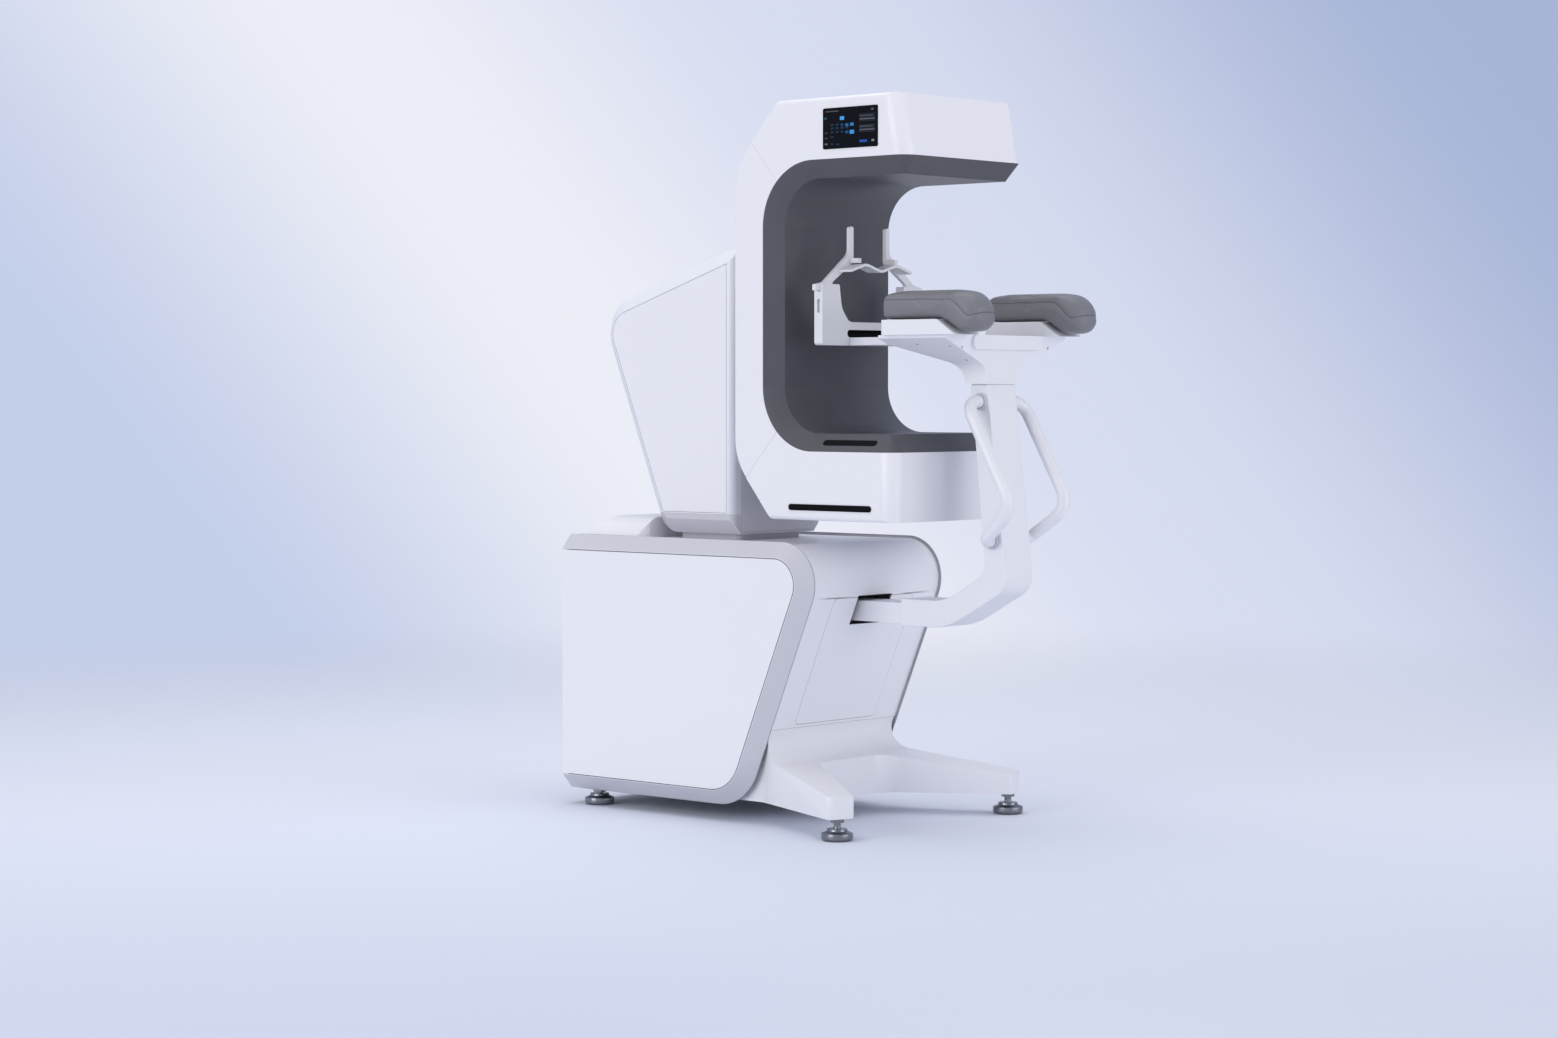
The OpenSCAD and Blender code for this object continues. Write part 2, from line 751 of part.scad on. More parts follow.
module lower_arm_cover() color(white) intersection() {
  gantry_shell(gantry_front, 0);
  yz(-gantry_w, gantry_w) seam_side(false, 0);
}

module spine_cover() color(white) difference() {
  gantry_shell(gantry_front, 0);
  translate([0, 0, -seam_gap]) yz(-gantry_w, gantry_w) seam_side(true, 0);
  translate([0, 0, seam_gap]) yz(-gantry_w, gantry_w) seam_side(false, 0);
}

// Half of the liner, from the axis to an arm at height h with a given front; t moves its face inwards
module liner_half(h, t, front) {
  thin = t * sqrt(1 + bevel_k * bevel_k);
  n0 = t;
  n1 = t > 0 ? bevel_d + cut : bevel_d;
  w0 = gantry_hw - bevel_w + bevel_k * n0 - thin;
  w1 = gantry_hw - bevel_w + bevel_k * n1 - thin;
  y0 = front + bevel_w - bevel_k * n0 + thin;
  y1 = front + bevel_w - bevel_k * n1 + thin;
  turn_y = throat_back - throat_r;
  xy(0, h - throat_r) polygon([[-w0, throat_back + n0], [w0, throat_back + n0],
    [w1, throat_back + n1], [-w1, throat_back + n1]]);
  translate([0, turn_y, h - throat_r]) rotate([0, 90, 0]) rotate([0, 0, 90]) rotate_extrude(angle = 90)
    polygon([[throat_r + n0, -w0], [throat_r + n1, -w1], [throat_r + n1, w1], [throat_r + n0, w0]]);
  xz(front + front_r, turn_y) polygon([[-w0, h + n0], [w0, h + n0], [w1, h + n1], [-w1, h + n1]]);
  yz(front_r - gantry_hw, gantry_hw - front_r)
    polygon([[y0, h + n0], [turn_y, h + n0], [turn_y, h + n1], [y1, h + n1]]);
  for (s = [-1, 1])
    translate([s * (gantry_hw - front_r), front + front_r, h + n0])
      cylinder(h = n1 - n0, r1 = front_r - bevel_w + bevel_k * n0 - thin,
        r2 = front_r - bevel_w + bevel_k * n1 - thin);
}

module liner_form(t) {
  translate([0, 0, axis_z]) {
    liner_half(throat_up, t, upper_front);
    mirror([0, 0, 1]) liner_half(throat_down, t, gantry_front);
  }
}

module throat_liner() color(dark_grey) difference() {
  liner_form(0);
  liner_form(liner_t);
  bevel_strip_bar(seam_gap / 2, -3 * liner_t, liner_t);
}

module touch_screen() color(black)
  yz(-gantry_hw - screen_proud, -gantry_hw - screen_proud + screen_t) screen_outline(0);

module arm_strip() color(black)
  yz(-gantry_hw - 0.5, -gantry_hw + cover_t) arm_strip_outline(0);

module bevel_strip() color(black) bevel_strip_bar(0, -liner_t, 0.5);

module gantry_frame() color(steel) difference() {
  yz(-frame_w / 2, frame_w / 2) difference() {
    rounded(inset(gantry_outline(gantry_front), cover_t));
    rounded(inset(gantry_outline(gantry_front), cover_t + frame_t));
    translate([gantry_front, gantry_bottom]) square([front_r + cover_t, gantry_up + gantry_down]);
  }
  rod_y(0, gantry_back - cover_t - 2 * frame_t, gantry_back, axis_z, spigot_r + bore_gap);
}

tube_top = gantry_top - cover_t - frame_t;
tube_z = tube_top - tube_hang;
port_z = tube_z - tube_r - port_h;
module xray_tube() color(zinc) {
  rod_x(-tube_l / 2, tube_l / 2, beam_y, tube_z, tube_r);
  block(-tube_r * 1.3, tube_r * 1.3, beam_y - tube_r, beam_y + tube_r, tube_z, tube_top);
  block(-tube_r * 0.8, tube_r * 0.8, beam_y - tube_r * 0.8, beam_y + tube_r * 0.8, port_z, tube_z);
}

module collimator() color(steel) difference() {
  block(-tube_r, tube_r, beam_y - tube_r, beam_y + tube_r, port_z - collimator_h, port_z);
  block(-tube_r / 3, tube_r / 3, beam_y - tube_r / 2, beam_y + tube_r / 2,
    port_z - collimator_h - cut, port_z + cut);
}

stand_z = gantry_bottom + cover_t + frame_t;
module detector_stand() color(steel) {
  block(-frame_w / 2, frame_w / 2, beam_y - frame_w / 2, beam_y + frame_w / 2, stand_z, stand_z + frame_t);
  for (s = [-1, 1])
    block(s * frame_w / 3 - frame_t / 2, s * frame_w / 3 + frame_t / 2, beam_y - frame_w / 2,
      beam_y + frame_w / 2, stand_z, stand_z + detector_stand_h);
}

module flat_detector() color(dark_grey)
  block(-detector_w / 2, detector_w / 2, beam_y - detector_w / 2, beam_y + detector_w / 2,
    stand_z + detector_stand_h, stand_z + detector_stand_h + detector_t);

module gantry_hub() color(steel) {
  rod_y(0, hub_y - cover_t - frame_t, hub_y, axis_z, spigot_r);
  rod_y(0, hub_y, shaft_y, axis_z, hub_r);
  rod_y(0, shaft_y, shaft_y + shaft_l, axis_z, shaft_r);
}

module driven_pulley() color(zinc) difference() {
  rod_y(0, pulley_y, pulley_y + pulley_w, axis_z, pulley_r);
  rod_y(0, pulley_y - cut, pulley_y + pulley_w + cut, axis_z, shaft_r);
}

module motor_pulley() color(zinc) {
  rod_y(0, pulley_y, pulley_y + pulley_w, motor_z, motor_pulley_r);
  rod_y(0, pulley_y + pulley_w, motor_y + motor_gap, motor_z, motor_shaft_r);
}

// Loop round both pulleys: two circles and the strip between their common tangents
module belt_loop(t) {
  a = asin((pulley_r - motor_pulley_r) / belt_span);
  r1 = pulley_r + t;
  r2 = motor_pulley_r + t;
  translate([0, axis_z]) circle(r1);
  translate([0, motor_z]) circle(r2);
  polygon([[r1 * cos(a), axis_z - r1 * sin(a)], [-r1 * cos(a), axis_z - r1 * sin(a)],
    [-r2 * cos(a), motor_z - r2 * sin(a)], [r2 * cos(a), motor_z - r2 * sin(a)]]);
}

module drive_belt() color(black) xz(pulley_y + 2, pulley_y + pulley_w - 2) difference() {
  belt_loop(belt_gap + belt_t);
  belt_loop(belt_gap);
}

module drive_motor() color(dark_grey) difference() {
  block(-motor_w / 2, motor_w / 2, motor_y, motor_y + motor_l, motor_z - motor_w / 2, motor_z + motor_w / 2);
  rod_y(0, motor_y - cut, motor_y + motor_gap + cut, motor_z, motor_shaft_r + run_gap);
}

housing_floor = housing_z + housing_t;
module motor_stand() color(steel)
  block(-motor_w / 2 + 4, motor_w / 2 - 4, motor_y + 5, motor_y + 5 + motor_stand_d, housing_floor,
    motor_z - motor_w / 2);

module bearing_pedestal() color(steel) difference() {
  xz(pedestal_y, pedestal_y + pedestal_d) {
    translate([0, axis_z]) circle(pedestal_r);
    polygon([
      [-pedestal_hw, housing_floor], [pedestal_hw, housing_floor], [pedestal_r, axis_z], [-pedestal_r, axis_z]]);
  }
  rod_y(0, pedestal_y - cut, pedestal_y + pedestal_d + cut, axis_z, shaft_r + run_gap);
  for (s = [-1, 1])
    xz(pedestal_y + 12, pedestal_y + pedestal_d + cut)
      rounded(box_outline(s * 50 - 34, housing_floor + 30, s * 50 + 34, axis_z - pedestal_r - 20, 12));
}

// Plan of the housing covers with soft front edges, moved in by t
module housing_plan(t) {
  xy(housing_z - cut, 2 * axis_z) rounded(inset([
    [-housing_hw, housing_front, housing_front_r], [housing_hw, housing_front, housing_front_r],
    [housing_hw, housing_rear_y + run_out, 0], [-housing_hw, housing_rear_y + run_out, 0]], t));
}

// Housing side view, its front run out to the front by ext
housing_fall = (housing_top - housing_rear_z) / (housing_rear_y - housing_front);
function housing_outline(ext) = [
  [housing_front - ext, housing_z, 0],
  [housing_low_y, housing_z, housing_r_low],
  [housing_rear_y, axis_z + housing_rear_z, housing_r_up],
  [housing_front - ext, axis_z + housing_top + ext * housing_fall, 0]];

// Left side cover blank: a flat panel inside a bevelled rim, open towards the middle
module housing_side_blank() {
  panel = inset(housing_outline(run_out), housing_rim_d);
  difference() {
    intersection() {
      hull($fn = 48) {
        yz(-housing_core - 0.5, -housing_core) rounded(housing_outline(run_out), $fn = 48);
        yz(-housing_hw, -housing_hw + 0.5) rounded(panel, $fn = 48);
      }
      housing_plan(0);
    }
    intersection() {
      hull() {
        yz(-housing_core - 0.5, -housing_core + cut)
          rounded(inset(housing_outline(run_out), housing_t), $fn = 48);
        yz(-housing_hw + housing_t, -housing_hw + housing_t + 0.5)
          rounded(inset(panel, housing_t / 2), $fn = 48);
      }
      housing_plan(housing_t);
    }
  }
}

module housing_side_left() color(white) difference() {
  housing_side_blank();
  block(-2 * housing_hw, 0, housing_front - cut, housing_rear_y, housing_z - cut, tray_seam + seam_gap);
}

module housing_side_right() mirror([1, 0, 0]) housing_side_left();

module housing_band() {
  yz(-housing_core, housing_core) difference() {
    rounded(housing_outline(0));
    rounded(inset(housing_outline(50), housing_t));
  }
}

module housing_wrap() color(white) difference() {
  housing_band();
  block(-housing_hw, housing_hw, housing_front - cut, housing_rear_y, housing_z - cut, tray_seam + seam_gap);
}

module housing_tray() color(rim_grey) intersection() {
  union() {
    housing_band();
    housing_side_blank();
    mirror([1, 0, 0]) housing_side_blank();
  }
  block(-housing_hw, housing_hw, housing_front - cut, housing_rear_y, housing_z - cut, tray_seam);
}

face_z0 = housing_floor + face_gap;
face_down = housing_t * sqrt(1 + housing_fall * housing_fall) + face_gap;
face_z1 = axis_z + housing_top - housing_fall * face_t - face_down;
face_hw = housing_core - face_gap;
stay_r = 12;
stay_x = pedestal_hw - 4 * stay_r;
stay_z = face_z0 + 4 * stay_r;
module housing_face() color(rim_grey) difference() {
  union() {
    block(-face_hw, face_hw, housing_front, housing_front + face_t, face_z0, face_z1);
    for (s = [-1, 1])
      rod_y(s * stay_x, housing_front + face_t - cut, pedestal_y, stay_z, stay_r);
    rod_y(0, housing_front + face_t - cut, pedestal_y, axis_z, pedestal_r - 4);
  }
  rod_y(0, housing_front - cut, pedestal_y + cut, axis_z, shaft_r + face_bore);
}

module plinth() color(rim_grey)
  xy(deck_z, housing_z)
    rounded(box_outline(-plinth_hw, pedestal_y, plinth_hw, housing_low_y - plinth_in, 20));

// How far an edge of radius r swings out below the deck
function hump_bulge(r) = r - sqrt(r * r - pow(r - hump_h, 2));

module rear_hump() color(white) intersection() {
  x1 = hump_hw + hump_bulge(hump_side_r);
  y0 = housing_low_y + plinth_in;
  y1 = cabinet_back - hump_in + hump_bulge(hump_r);
  z0 = deck_z - 2 * hump_r;
  z1 = deck_z + hump_h;
  yz(-x1, x1) rounded([[y0, z0, 0], [y1, z0, 0], [y1, z1, hump_r], [y0, z1, 6]]);
  xz(y0 - cut, y1 + cut)
    rounded([[-x1, z0, 0], [x1, z0, 0], [x1, z1 + cut, hump_side_r], [-x1, z1 + cut, hump_side_r]]);
  xy(deck_z, z1 + 2 * cut) rounded(box_outline(-x1 - cut, y0 - cut, x1 + cut, y1 + cut, hump_corner_r));
}

// Cabinet side view with its back run out by ext
function cabinet_outline(ext) = [
  [nose_y, rim_top, nose_r],
  [toe_y, cabinet_z, toe_r],
  [cabinet_back + ext, cabinet_z, 0],
  [cabinet_back + ext, rim_top, 0]];

module side_cover_left() color(white) difference() {
  panel = inset(cabinet_outline(run_out), rim_d);
  hull($fn = 48) {
    yz(-cabinet_hw - 0.5, -cabinet_hw) rounded(cabinet_outline(run_out), $fn = 64);
    yz(-side_x, -side_x + 0.5) rounded(panel, $fn = 64);
  }
  intersection() {
    hull() {
      yz(-cabinet_hw - 0.5, -cabinet_hw + cut) rounded(inset(cabinet_outline(run_out), side_edge), $fn = 64);
      yz(-side_x + side_t, -side_x + side_t + 0.5)
        rounded(inset(panel, side_t), $fn = 64);
    }
    block(-2 * side_x, 0, -cabinet_back, cabinet_back - side_t, 0, axis_z);
  }
  block(-2 * side_x, 0, cabinet_back, 2 * cabinet_back, 0, axis_z);
  yz(-side_x - cut, -side_x + groove_d) difference() {
    rounded(inset(panel, groove_w), $fn = 64);
    rounded(inset(panel, 2 * groove_w), $fn = 64);
  }
}

module side_cover_right() mirror([1, 0, 0]) side_cover_left();

module cabinet_band() {
  yz(-cabinet_hw, cabinet_hw) difference() {
    rounded(inset(cabinet_outline(run_out), rim_lip));
    rounded(inset(cabinet_outline(run_out), rim_lip + wrap_t));
  }
}

module panel_zone(gap) {
  xz(-cabinet_back, mount_y)
    rounded(box_outline(-panel_hw - gap, panel_low - gap, panel_hw + gap, panel_top + gap, panel_r));
}

module arm_slot()
  block(-slot_hw, slot_hw, -cabinet_back, mount_y, beam_z0 - slot_below, beam_z1 + slot_above);

module front_cover() color(white) difference() {
  cabinet_band();
  block(-2 * side_x, 2 * side_x, -cabinet_back, 2 * cabinet_back, 0, leg_seam + seam_gap);
  block(-2 * side_x, 2 * side_x, cabinet_back - rear_t, 2 * cabinet_back, 0, axis_z);
  panel_zone(panel_gap);
  arm_slot();
}

module access_panel() color(white) difference() {
  intersection() {
    cabinet_band();
    panel_zone(0);
  }
  arm_slot();
}

inlet_w = 48;
inlet_h = 28;
inlet_x = inlet_in - cabinet_hw;
inlet_z = base_top + inlet_up;
module rear_panel() color(rim_grey) difference() {
  block(-cabinet_hw, cabinet_hw, cabinet_back - rear_t, cabinet_back, base_z, deck_z);
  for (s = [-1, 1])
    for (i = [0:vents - 1])
      translate([s * cabinet_hw / 2.2, 0, deck_z - 110 - i * vent_pitch])
        xz(cabinet_back - rear_t - cut, cabinet_back + cut) stadium(vent_l, vent_h);
  block(inlet_x - inlet_w / 2, inlet_x + inlet_w / 2, cabinet_back - 2 * rear_t, cabinet_back + cut,
    inlet_z - inlet_h / 2, inlet_z + inlet_h / 2);
}

module power_inlet() color(black) difference() {
  union() {
    block(inlet_x - inlet_w / 2 + 0.2, inlet_x + inlet_w / 2 - 0.2, cabinet_back - 26, cabinet_back,
      inlet_z - inlet_h / 2 + 0.2, inlet_z + inlet_h / 2 - 0.2);
    block(inlet_x - inlet_w / 2 - 6, inlet_x + inlet_w / 2 + 6, cabinet_back - rear_t - 4,
      cabinet_back - rear_t, inlet_z - inlet_h / 2 - 4, inlet_z + inlet_h / 2 + 4);
  }
  xz(cabinet_back - 20, cabinet_back + cut)
    rounded(box_outline(inlet_x - 15, inlet_z - 9, inlet_x + 15, inlet_z + 9, 3));
}

// Depth of the front cover's face at height z
front_fall = slope_back / (rim_top - cabinet_z);
function front_y(z) = nose_y + (rim_top - z) * front_fall + rim_lip * sqrt(1 + front_fall * front_fall);

module leg_casting() color(white) {
  heel_y = front_y(leg_seam);
  end_front = -end_y - end_turn - 4;
  rear = casting_back + leg_h;
  intersection() {
    xy(0, leg_seam + leg_h) rounded([
      [-casting_hw, casting_back, 0], [-casting_hw, heel_y + flank_y, 60],
      [-foot_x - end_out, -end_y, 10], [-foot_x + end_in, -end_y - end_turn, 10],
      [-web_hw, web_y, web_r], [web_hw, web_y, web_r],
      [foot_x - end_in, -end_y - end_turn, 10], [foot_x + end_out, -end_y, 10],
      [casting_hw, heel_y + flank_y, 60], [casting_hw, casting_back, 0]]);
    yz(-2 * foot_x, 2 * foot_x) rounded([
      [end_front, leg_z, 4], [rear, leg_z, 0], [rear, leg_seam, 0], [heel_y, leg_seam, 0],
      [front_y(instep_z), instep_z, heel_r], [end_front, leg_z + leg_h, 12]]);
  }
}

// Turned foot with a lock nut under the piece that stands on it at height h
module foot(h) {
  rotate_extrude() polygon([
    [0, 0], [foot_r - 3, 0], [foot_r, foot_body * 0.18], [foot_r, foot_body * 0.62],
    [foot_r - 12, foot_body * 0.8], [foot_r - 13, foot_body], [0, foot_body]]);
  translate([0, 0, foot_body]) cylinder(h = h - foot_body, r = stem_r);
  translate([0, 0, h - nut_h]) cylinder(h = nut_h, r = nut_r, $fn = 6);
}

module levelling_feet() color(steel) for (s = [-1, 1]) {
  translate([s * foot_x, 0, 0]) foot(leg_z);
  translate([s * rear_foot_x, rear_foot_y, 0]) foot(base_z);
}

module base_plate() color(zinc)
  block(-cabinet_hw, cabinet_hw, casting_back, cabinet_back - rear_t, base_z, base_top);

chassis_top = deck_z - wrap_t;
chassis_back = cabinet_back - rear_t - 10;
module chassis() color(steel) {
  for (s = [-1, 1]) {
    block(s * post_x - post_w / 2, s * post_x + post_w / 2, casting_back, mount_y, base_top, chassis_top);
    block(s * post_x - post_w / 2, s * post_x + post_w / 2, chassis_back - post_w, chassis_back,
      base_top, chassis_top);
    block(s * post_x - post_w / 2, s * post_x + post_w / 2, casting_back, chassis_back,
      chassis_top - post_w, chassis_top);
  }
  for (y = [casting_back, mount_y + post_w, housing_low_y - plinth_in - post_w, chassis_back - post_w])
    block(-post_x, post_x, y, y + post_w, chassis_top - post_w, chassis_top);
  block(-post_x, post_x, casting_back, mount_y, beam_z0 - post_w, beam_z0);
}

module generator() color(zinc) {
  y1 = chassis_back - 2 * post_w;
  y0 = y1 - generator_l;
  z1 = base_top + generator_h;
  block(-generator_hw, generator_hw, y0, y1, base_top, z1);
  for (i = [-2:2])
    translate([i * generator_hw * 0.4, 0, 0])
      block(-fin_t / 2, fin_t / 2, y0 + 2 * fin_t, y1 - 2 * fin_t, z1, z1 + fin_h);
}

module control_unit() color(dark_grey) difference() {
  y0 = mount_y;
  block(-control_hw, control_hw, y0, y0 + control_d, base_top, base_top + control_h);
  for (i = [1:6])
    block(-control_hw * 0.75, control_hw * 0.75, y0 - cut, y0 + 4,
      base_top + control_h * i / 8, base_top + control_h * i / 8 + 8);
}

module arm_beam() color(white)
  yz(-beam_hw, beam_hw) rounded(box_outline(sleeve_end, beam_z0, mount_y, beam_z1, 2));

function column_front(z) = knee_y + column_lean * (z - knee_z) / (bracket_z - knee_z);
function column_rear(z) =
  crook_y + (column_top_y + column_top_d - crook_y) * (z - crook_z) / (bracket_z - crook_z);
function column_mid(z) = (column_front(z) + column_rear(z)) / 2;

module support_column() color(white) yz(-column_hw, column_hw) rounded_slim([
  [column_top_y, bracket_z, 0], [knee_y, knee_z, knee_r], [arm_bend_y, arm_z, arm_bend_r],
  [sleeve_end, arm_z, 0], [sleeve_end, arm_z + sleeve_h, 0],
  [arm_bend_y + 6, arm_z + sleeve_h, arm_bend_r - sleeve_h],
  [crook_y, crook_z, 35], [column_top_y + column_top_d, bracket_z, 0]]);

module support_bracket() color(white) {
  intersection() {
    yz(-2 * wing_hw, 2 * wing_hw) rounded([
      [neck_front, bracket_z, 0], [neck_rear, bracket_z, 0], [neck_rear + 10, bracket_z + 43, 40],
      [bracket_rear, plate_z, 0], [bracket_rear, bracket_top, 0], [neck_front - 12, bracket_top, 0]]);
    xz(apron_front - cut, bracket_rear + cut) rounded([
      [-neck_hw, bracket_z, 0], [neck_hw, bracket_z, 0], [neck_hw, bracket_z + 37, 40],
      [wing_hw, bracket_top - wing_t, 0], [wing_hw, bracket_top, 0], [-wing_hw, bracket_top, 0],
      [-wing_hw, bracket_top - wing_t, 0], [-neck_hw, bracket_z + 37, 40]]);
  }
  xz(apron_front, neck_front)
    rounded(box_outline(-apron_hw, bracket_top - apron_h, apron_hw, bracket_top, 13));
}

module tray(s) intersection() {
  yz(-2 * yoke_hw, 2 * yoke_hw) rounded([
    [tray_front - 1.5 * tray_slope, bracket_top - tray_h / 2, 0], [tray_rear, bracket_top - tray_h / 2, 0],
    [tray_rear, rest_z, 3], [tray_front, rest_z, 18]]);
  xy(bracket_top, rest_z + cut) rounded(box_outline(s * rest_x - tray_w / 2,
    tray_front - tray_slope, s * rest_x + tray_w / 2, tray_rear, 10));
}
module tray_left() color(white) tray(-1);
module tray_right() color(white) tray(1);

module pad(s) intersection() {
  z0 = rest_z + pad_gap;
  yz(-2 * yoke_hw, 2 * yoke_hw) rounded([
    [pad_rear, z0, 6], [pad_rear, z0 + pad_t, 16], [pad_front, z0 + pad_t, 40], [pad_front, bracket_top, 34],
    [tray_front - tray_slope - 2, bracket_top, 8], [tray_front - 1, z0, 16]]);
  xy(bracket_top - cut, z0 + pad_t + cut) rounded([
    [s * rest_x - pad_w / 2, pad_front, pad_r], [s * rest_x + pad_w / 2, pad_front, pad_r],
    [s * rest_x + pad_w / 2, pad_rear, 18], [s * rest_x - pad_w / 2, pad_rear, 18]]);
}
module pad_left() color(pad_grey) pad(-1);
module pad_right() color(pad_grey) pad(1);

grip_z1 = bracket_z - grip_drop;
grip_z0 = knee_z + grip_low;
module grip_right() color(white) bent_tube([
  [column_hw, column_mid(grip_z1), grip_z1],
  [grip_x, column_mid(grip_z1), grip_z1],
  [grip_x, grip_y, grip_z0 + grip_rise],
  [column_hw + grip_r_low + 6, column_mid(grip_z0), grip_z0],
  [column_hw, column_mid(grip_z0), grip_z0]], [grip_r_up, grip_r_mid, grip_r_low], grip_r, [0, 0.9, -0.45]);
module grip_left() mirror([1, 0, 0]) grip_right();

module grip_collars() color(rim_grey) for (s = [-1, 1]) for (z = [grip_z0, grip_z1]) {
  x = s * (column_hw + collar_t / 2);
  difference() {
    rod_x(x - collar_t / 2, x + collar_t / 2, column_mid(z), z, collar_r);
    rod_x(x - collar_t, x + collar_t, column_mid(z), z, grip_r + bore_gap);
  }
}

module holder_plate() color(white)
  block(-plate_hw, plate_hw, bracket_rear, yoke_y, plate_z, plate_z + plate_t);

// Front view of the yoke with the bottom of its U lifted by up
function yoke_outline(up) = [
  [-yoke_hw, plate_z, 8], [yoke_hw, plate_z, 8], [yoke_hw, post_z, 4], [yoke_hw - post_top_w, post_z, 4],
  [yoke_hw - post_top_w - 8, post_z - 54, 50],
  [u_hw, plate_z + u_low + up, 40], [-u_hw, plate_z + u_low + up, 40],
  [post_top_w + 8 - yoke_hw, post_z - 54, 50], [post_top_w - yoke_hw, post_z, 4], [-yoke_hw, post_z, 4]];

module head_yoke() color(white) difference() {
  union() {
    xz(yoke_y, yoke_y + 8) rounded(yoke_outline(0));
    xz(yoke_y + 7.9, yoke_y + yoke_d) rounded(yoke_outline(10));
  }
  translate([0, 0, plate_z + plate_t + 0.4 + holder_slot_h / 2])
    xz(yoke_y - cut, yoke_y + holder_slot_d) stadium(2 * holder_slot_hw, holder_slot_h);
  for (s = [-1, 1]) mirror([s > 0 ? 1 : 0, 0, 0]) {
    block(-leg_x, -leg_x + leg_w + 2 * leg_gap, leg_y - leg_t / 2 - leg_gap, leg_y + leg_t / 2 + leg_gap,
      slot_floor, post_z + cut);
    block(-yoke_hw - cut, -leg_x + cut, leg_y - leg_t / 2 + 1, leg_y + leg_t / 2 - 1,
      post_z - 64, post_z - 64 + head_travel);
    block(-yoke_hw - cut, -leg_x + cut, leg_y - leg_t / 2 - leg_gap, leg_y + leg_t / 2 + leg_gap,
      post_z - tab_h - 2, post_z + cut);
  }
}

leg_outer = leg_x - leg_gap;
leg_inner = leg_outer - leg_w;
module temple_arm_right() color(white) {
  xz(leg_y - leg_t / 2, leg_y + leg_t / 2) rounded_slim([
    [leg_inner, post_z - leg_in, 1], [leg_outer, post_z - leg_in, 1], [leg_outer, post_z - tab_h - 1, 0],
    [yoke_hw + tab_out, post_z - tab_h - 1, 2], [yoke_hw + tab_out, post_z - 1, 2],
    [leg_outer - 6, post_z + 4, 8],
    [temple_x + temple_w, post_z + temple_root + 20, 24], [temple_x + temple_w, post_z + temple_h, 5.8],
    [temple_x, post_z + temple_h, 5.8], [temple_x, post_z + temple_root, 12], [leg_inner, post_z + 5, 10]]);
  block(temple_x + 1, temple_x + temple_w, leg_y - leg_t / 2 - temple_foot, leg_y,
    post_z + chin_z + chin_wave + 0.5,
    post_z + temple_root + 9);
}

module temple_arm_left() mirror([1, 0, 0]) temple_arm_right();

// Wavy strap that dips in the middle, held against the front of both temple arms
module chin_rest() color(white) {
  z = post_z + chin_z;
  shoulder = chin_hw / 2;
  xz(leg_y - leg_t / 2 - chin_d, leg_y - leg_t / 2) rounded_slim([
    [-chin_hw, z - chin_t, 2], [-shoulder, z - chin_t + chin_wave, 30], [0, z - chin_t, 40],
    [shoulder, z - chin_t + chin_wave, 30], [chin_hw, z - chin_t, 2],
    [chin_hw, z, 2], [shoulder, z + chin_wave, 30 + chin_t], [0, z, 40 - chin_t],
    [-shoulder, z + chin_wave, 30 + chin_t], [-chin_hw, z, 2]]);
}

// Every piece stands in one frame: the middle of the floor area is the origin
module placed() translate([0, -y_mid, 0]) children();

placed() upper_arm_cover();
placed() spine_cover();
placed() lower_arm_cover();
placed() throat_liner();
placed() touch_screen();
placed() arm_strip();
placed() bevel_strip();
placed() gantry_frame();
placed() xray_tube();
placed() collimator();
placed() detector_stand();
placed() flat_detector();
placed() gantry_hub();
placed() driven_pulley();
placed() motor_pulley();
placed() drive_belt();
placed() drive_motor();
placed() motor_stand();
placed() bearing_pedestal();
placed() housing_side_left();
placed() housing_side_right();
placed() housing_wrap();
placed() housing_tray();
placed() housing_face();
placed() plinth();
placed() rear_hump();
placed() side_cover_left();
placed() side_cover_right();
placed() front_cover();
placed() access_panel();
placed() rear_panel();
placed() power_inlet();
placed() leg_casting();
placed() levelling_feet();
placed() base_plate();
placed() chassis();
placed() generator();
placed() control_unit();
placed() arm_beam();
placed() support_column();
placed() support_bracket();
placed() tray_left();
placed() tray_right();
placed() pad_left();
placed() pad_right();
placed() grip_left();
placed() grip_right();
placed() grip_collars();
placed() holder_plate();
placed() head_yoke();
placed() temple_arm_left();
placed() temple_arm_right();
placed() chin_rest();
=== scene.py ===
# %% [markdown]
# # A head CT scanner, dressed for the studio
# The solids of the machine come ready from the CAD frame, at full size and in metres. This lesson gives
# them their finishes, sews and inflates the two arm pads, lights the screen, and sets the small trim that
# a CAD model leaves out. Every new piece is worked out in the same frame, so nothing has to be fitted by
# eye.

import json
import math

import bmesh
import bpy
import numpy as np
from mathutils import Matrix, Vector
from mathutils.bvhtree import BVHTree
from mathutils.geometry import convex_hull_2d


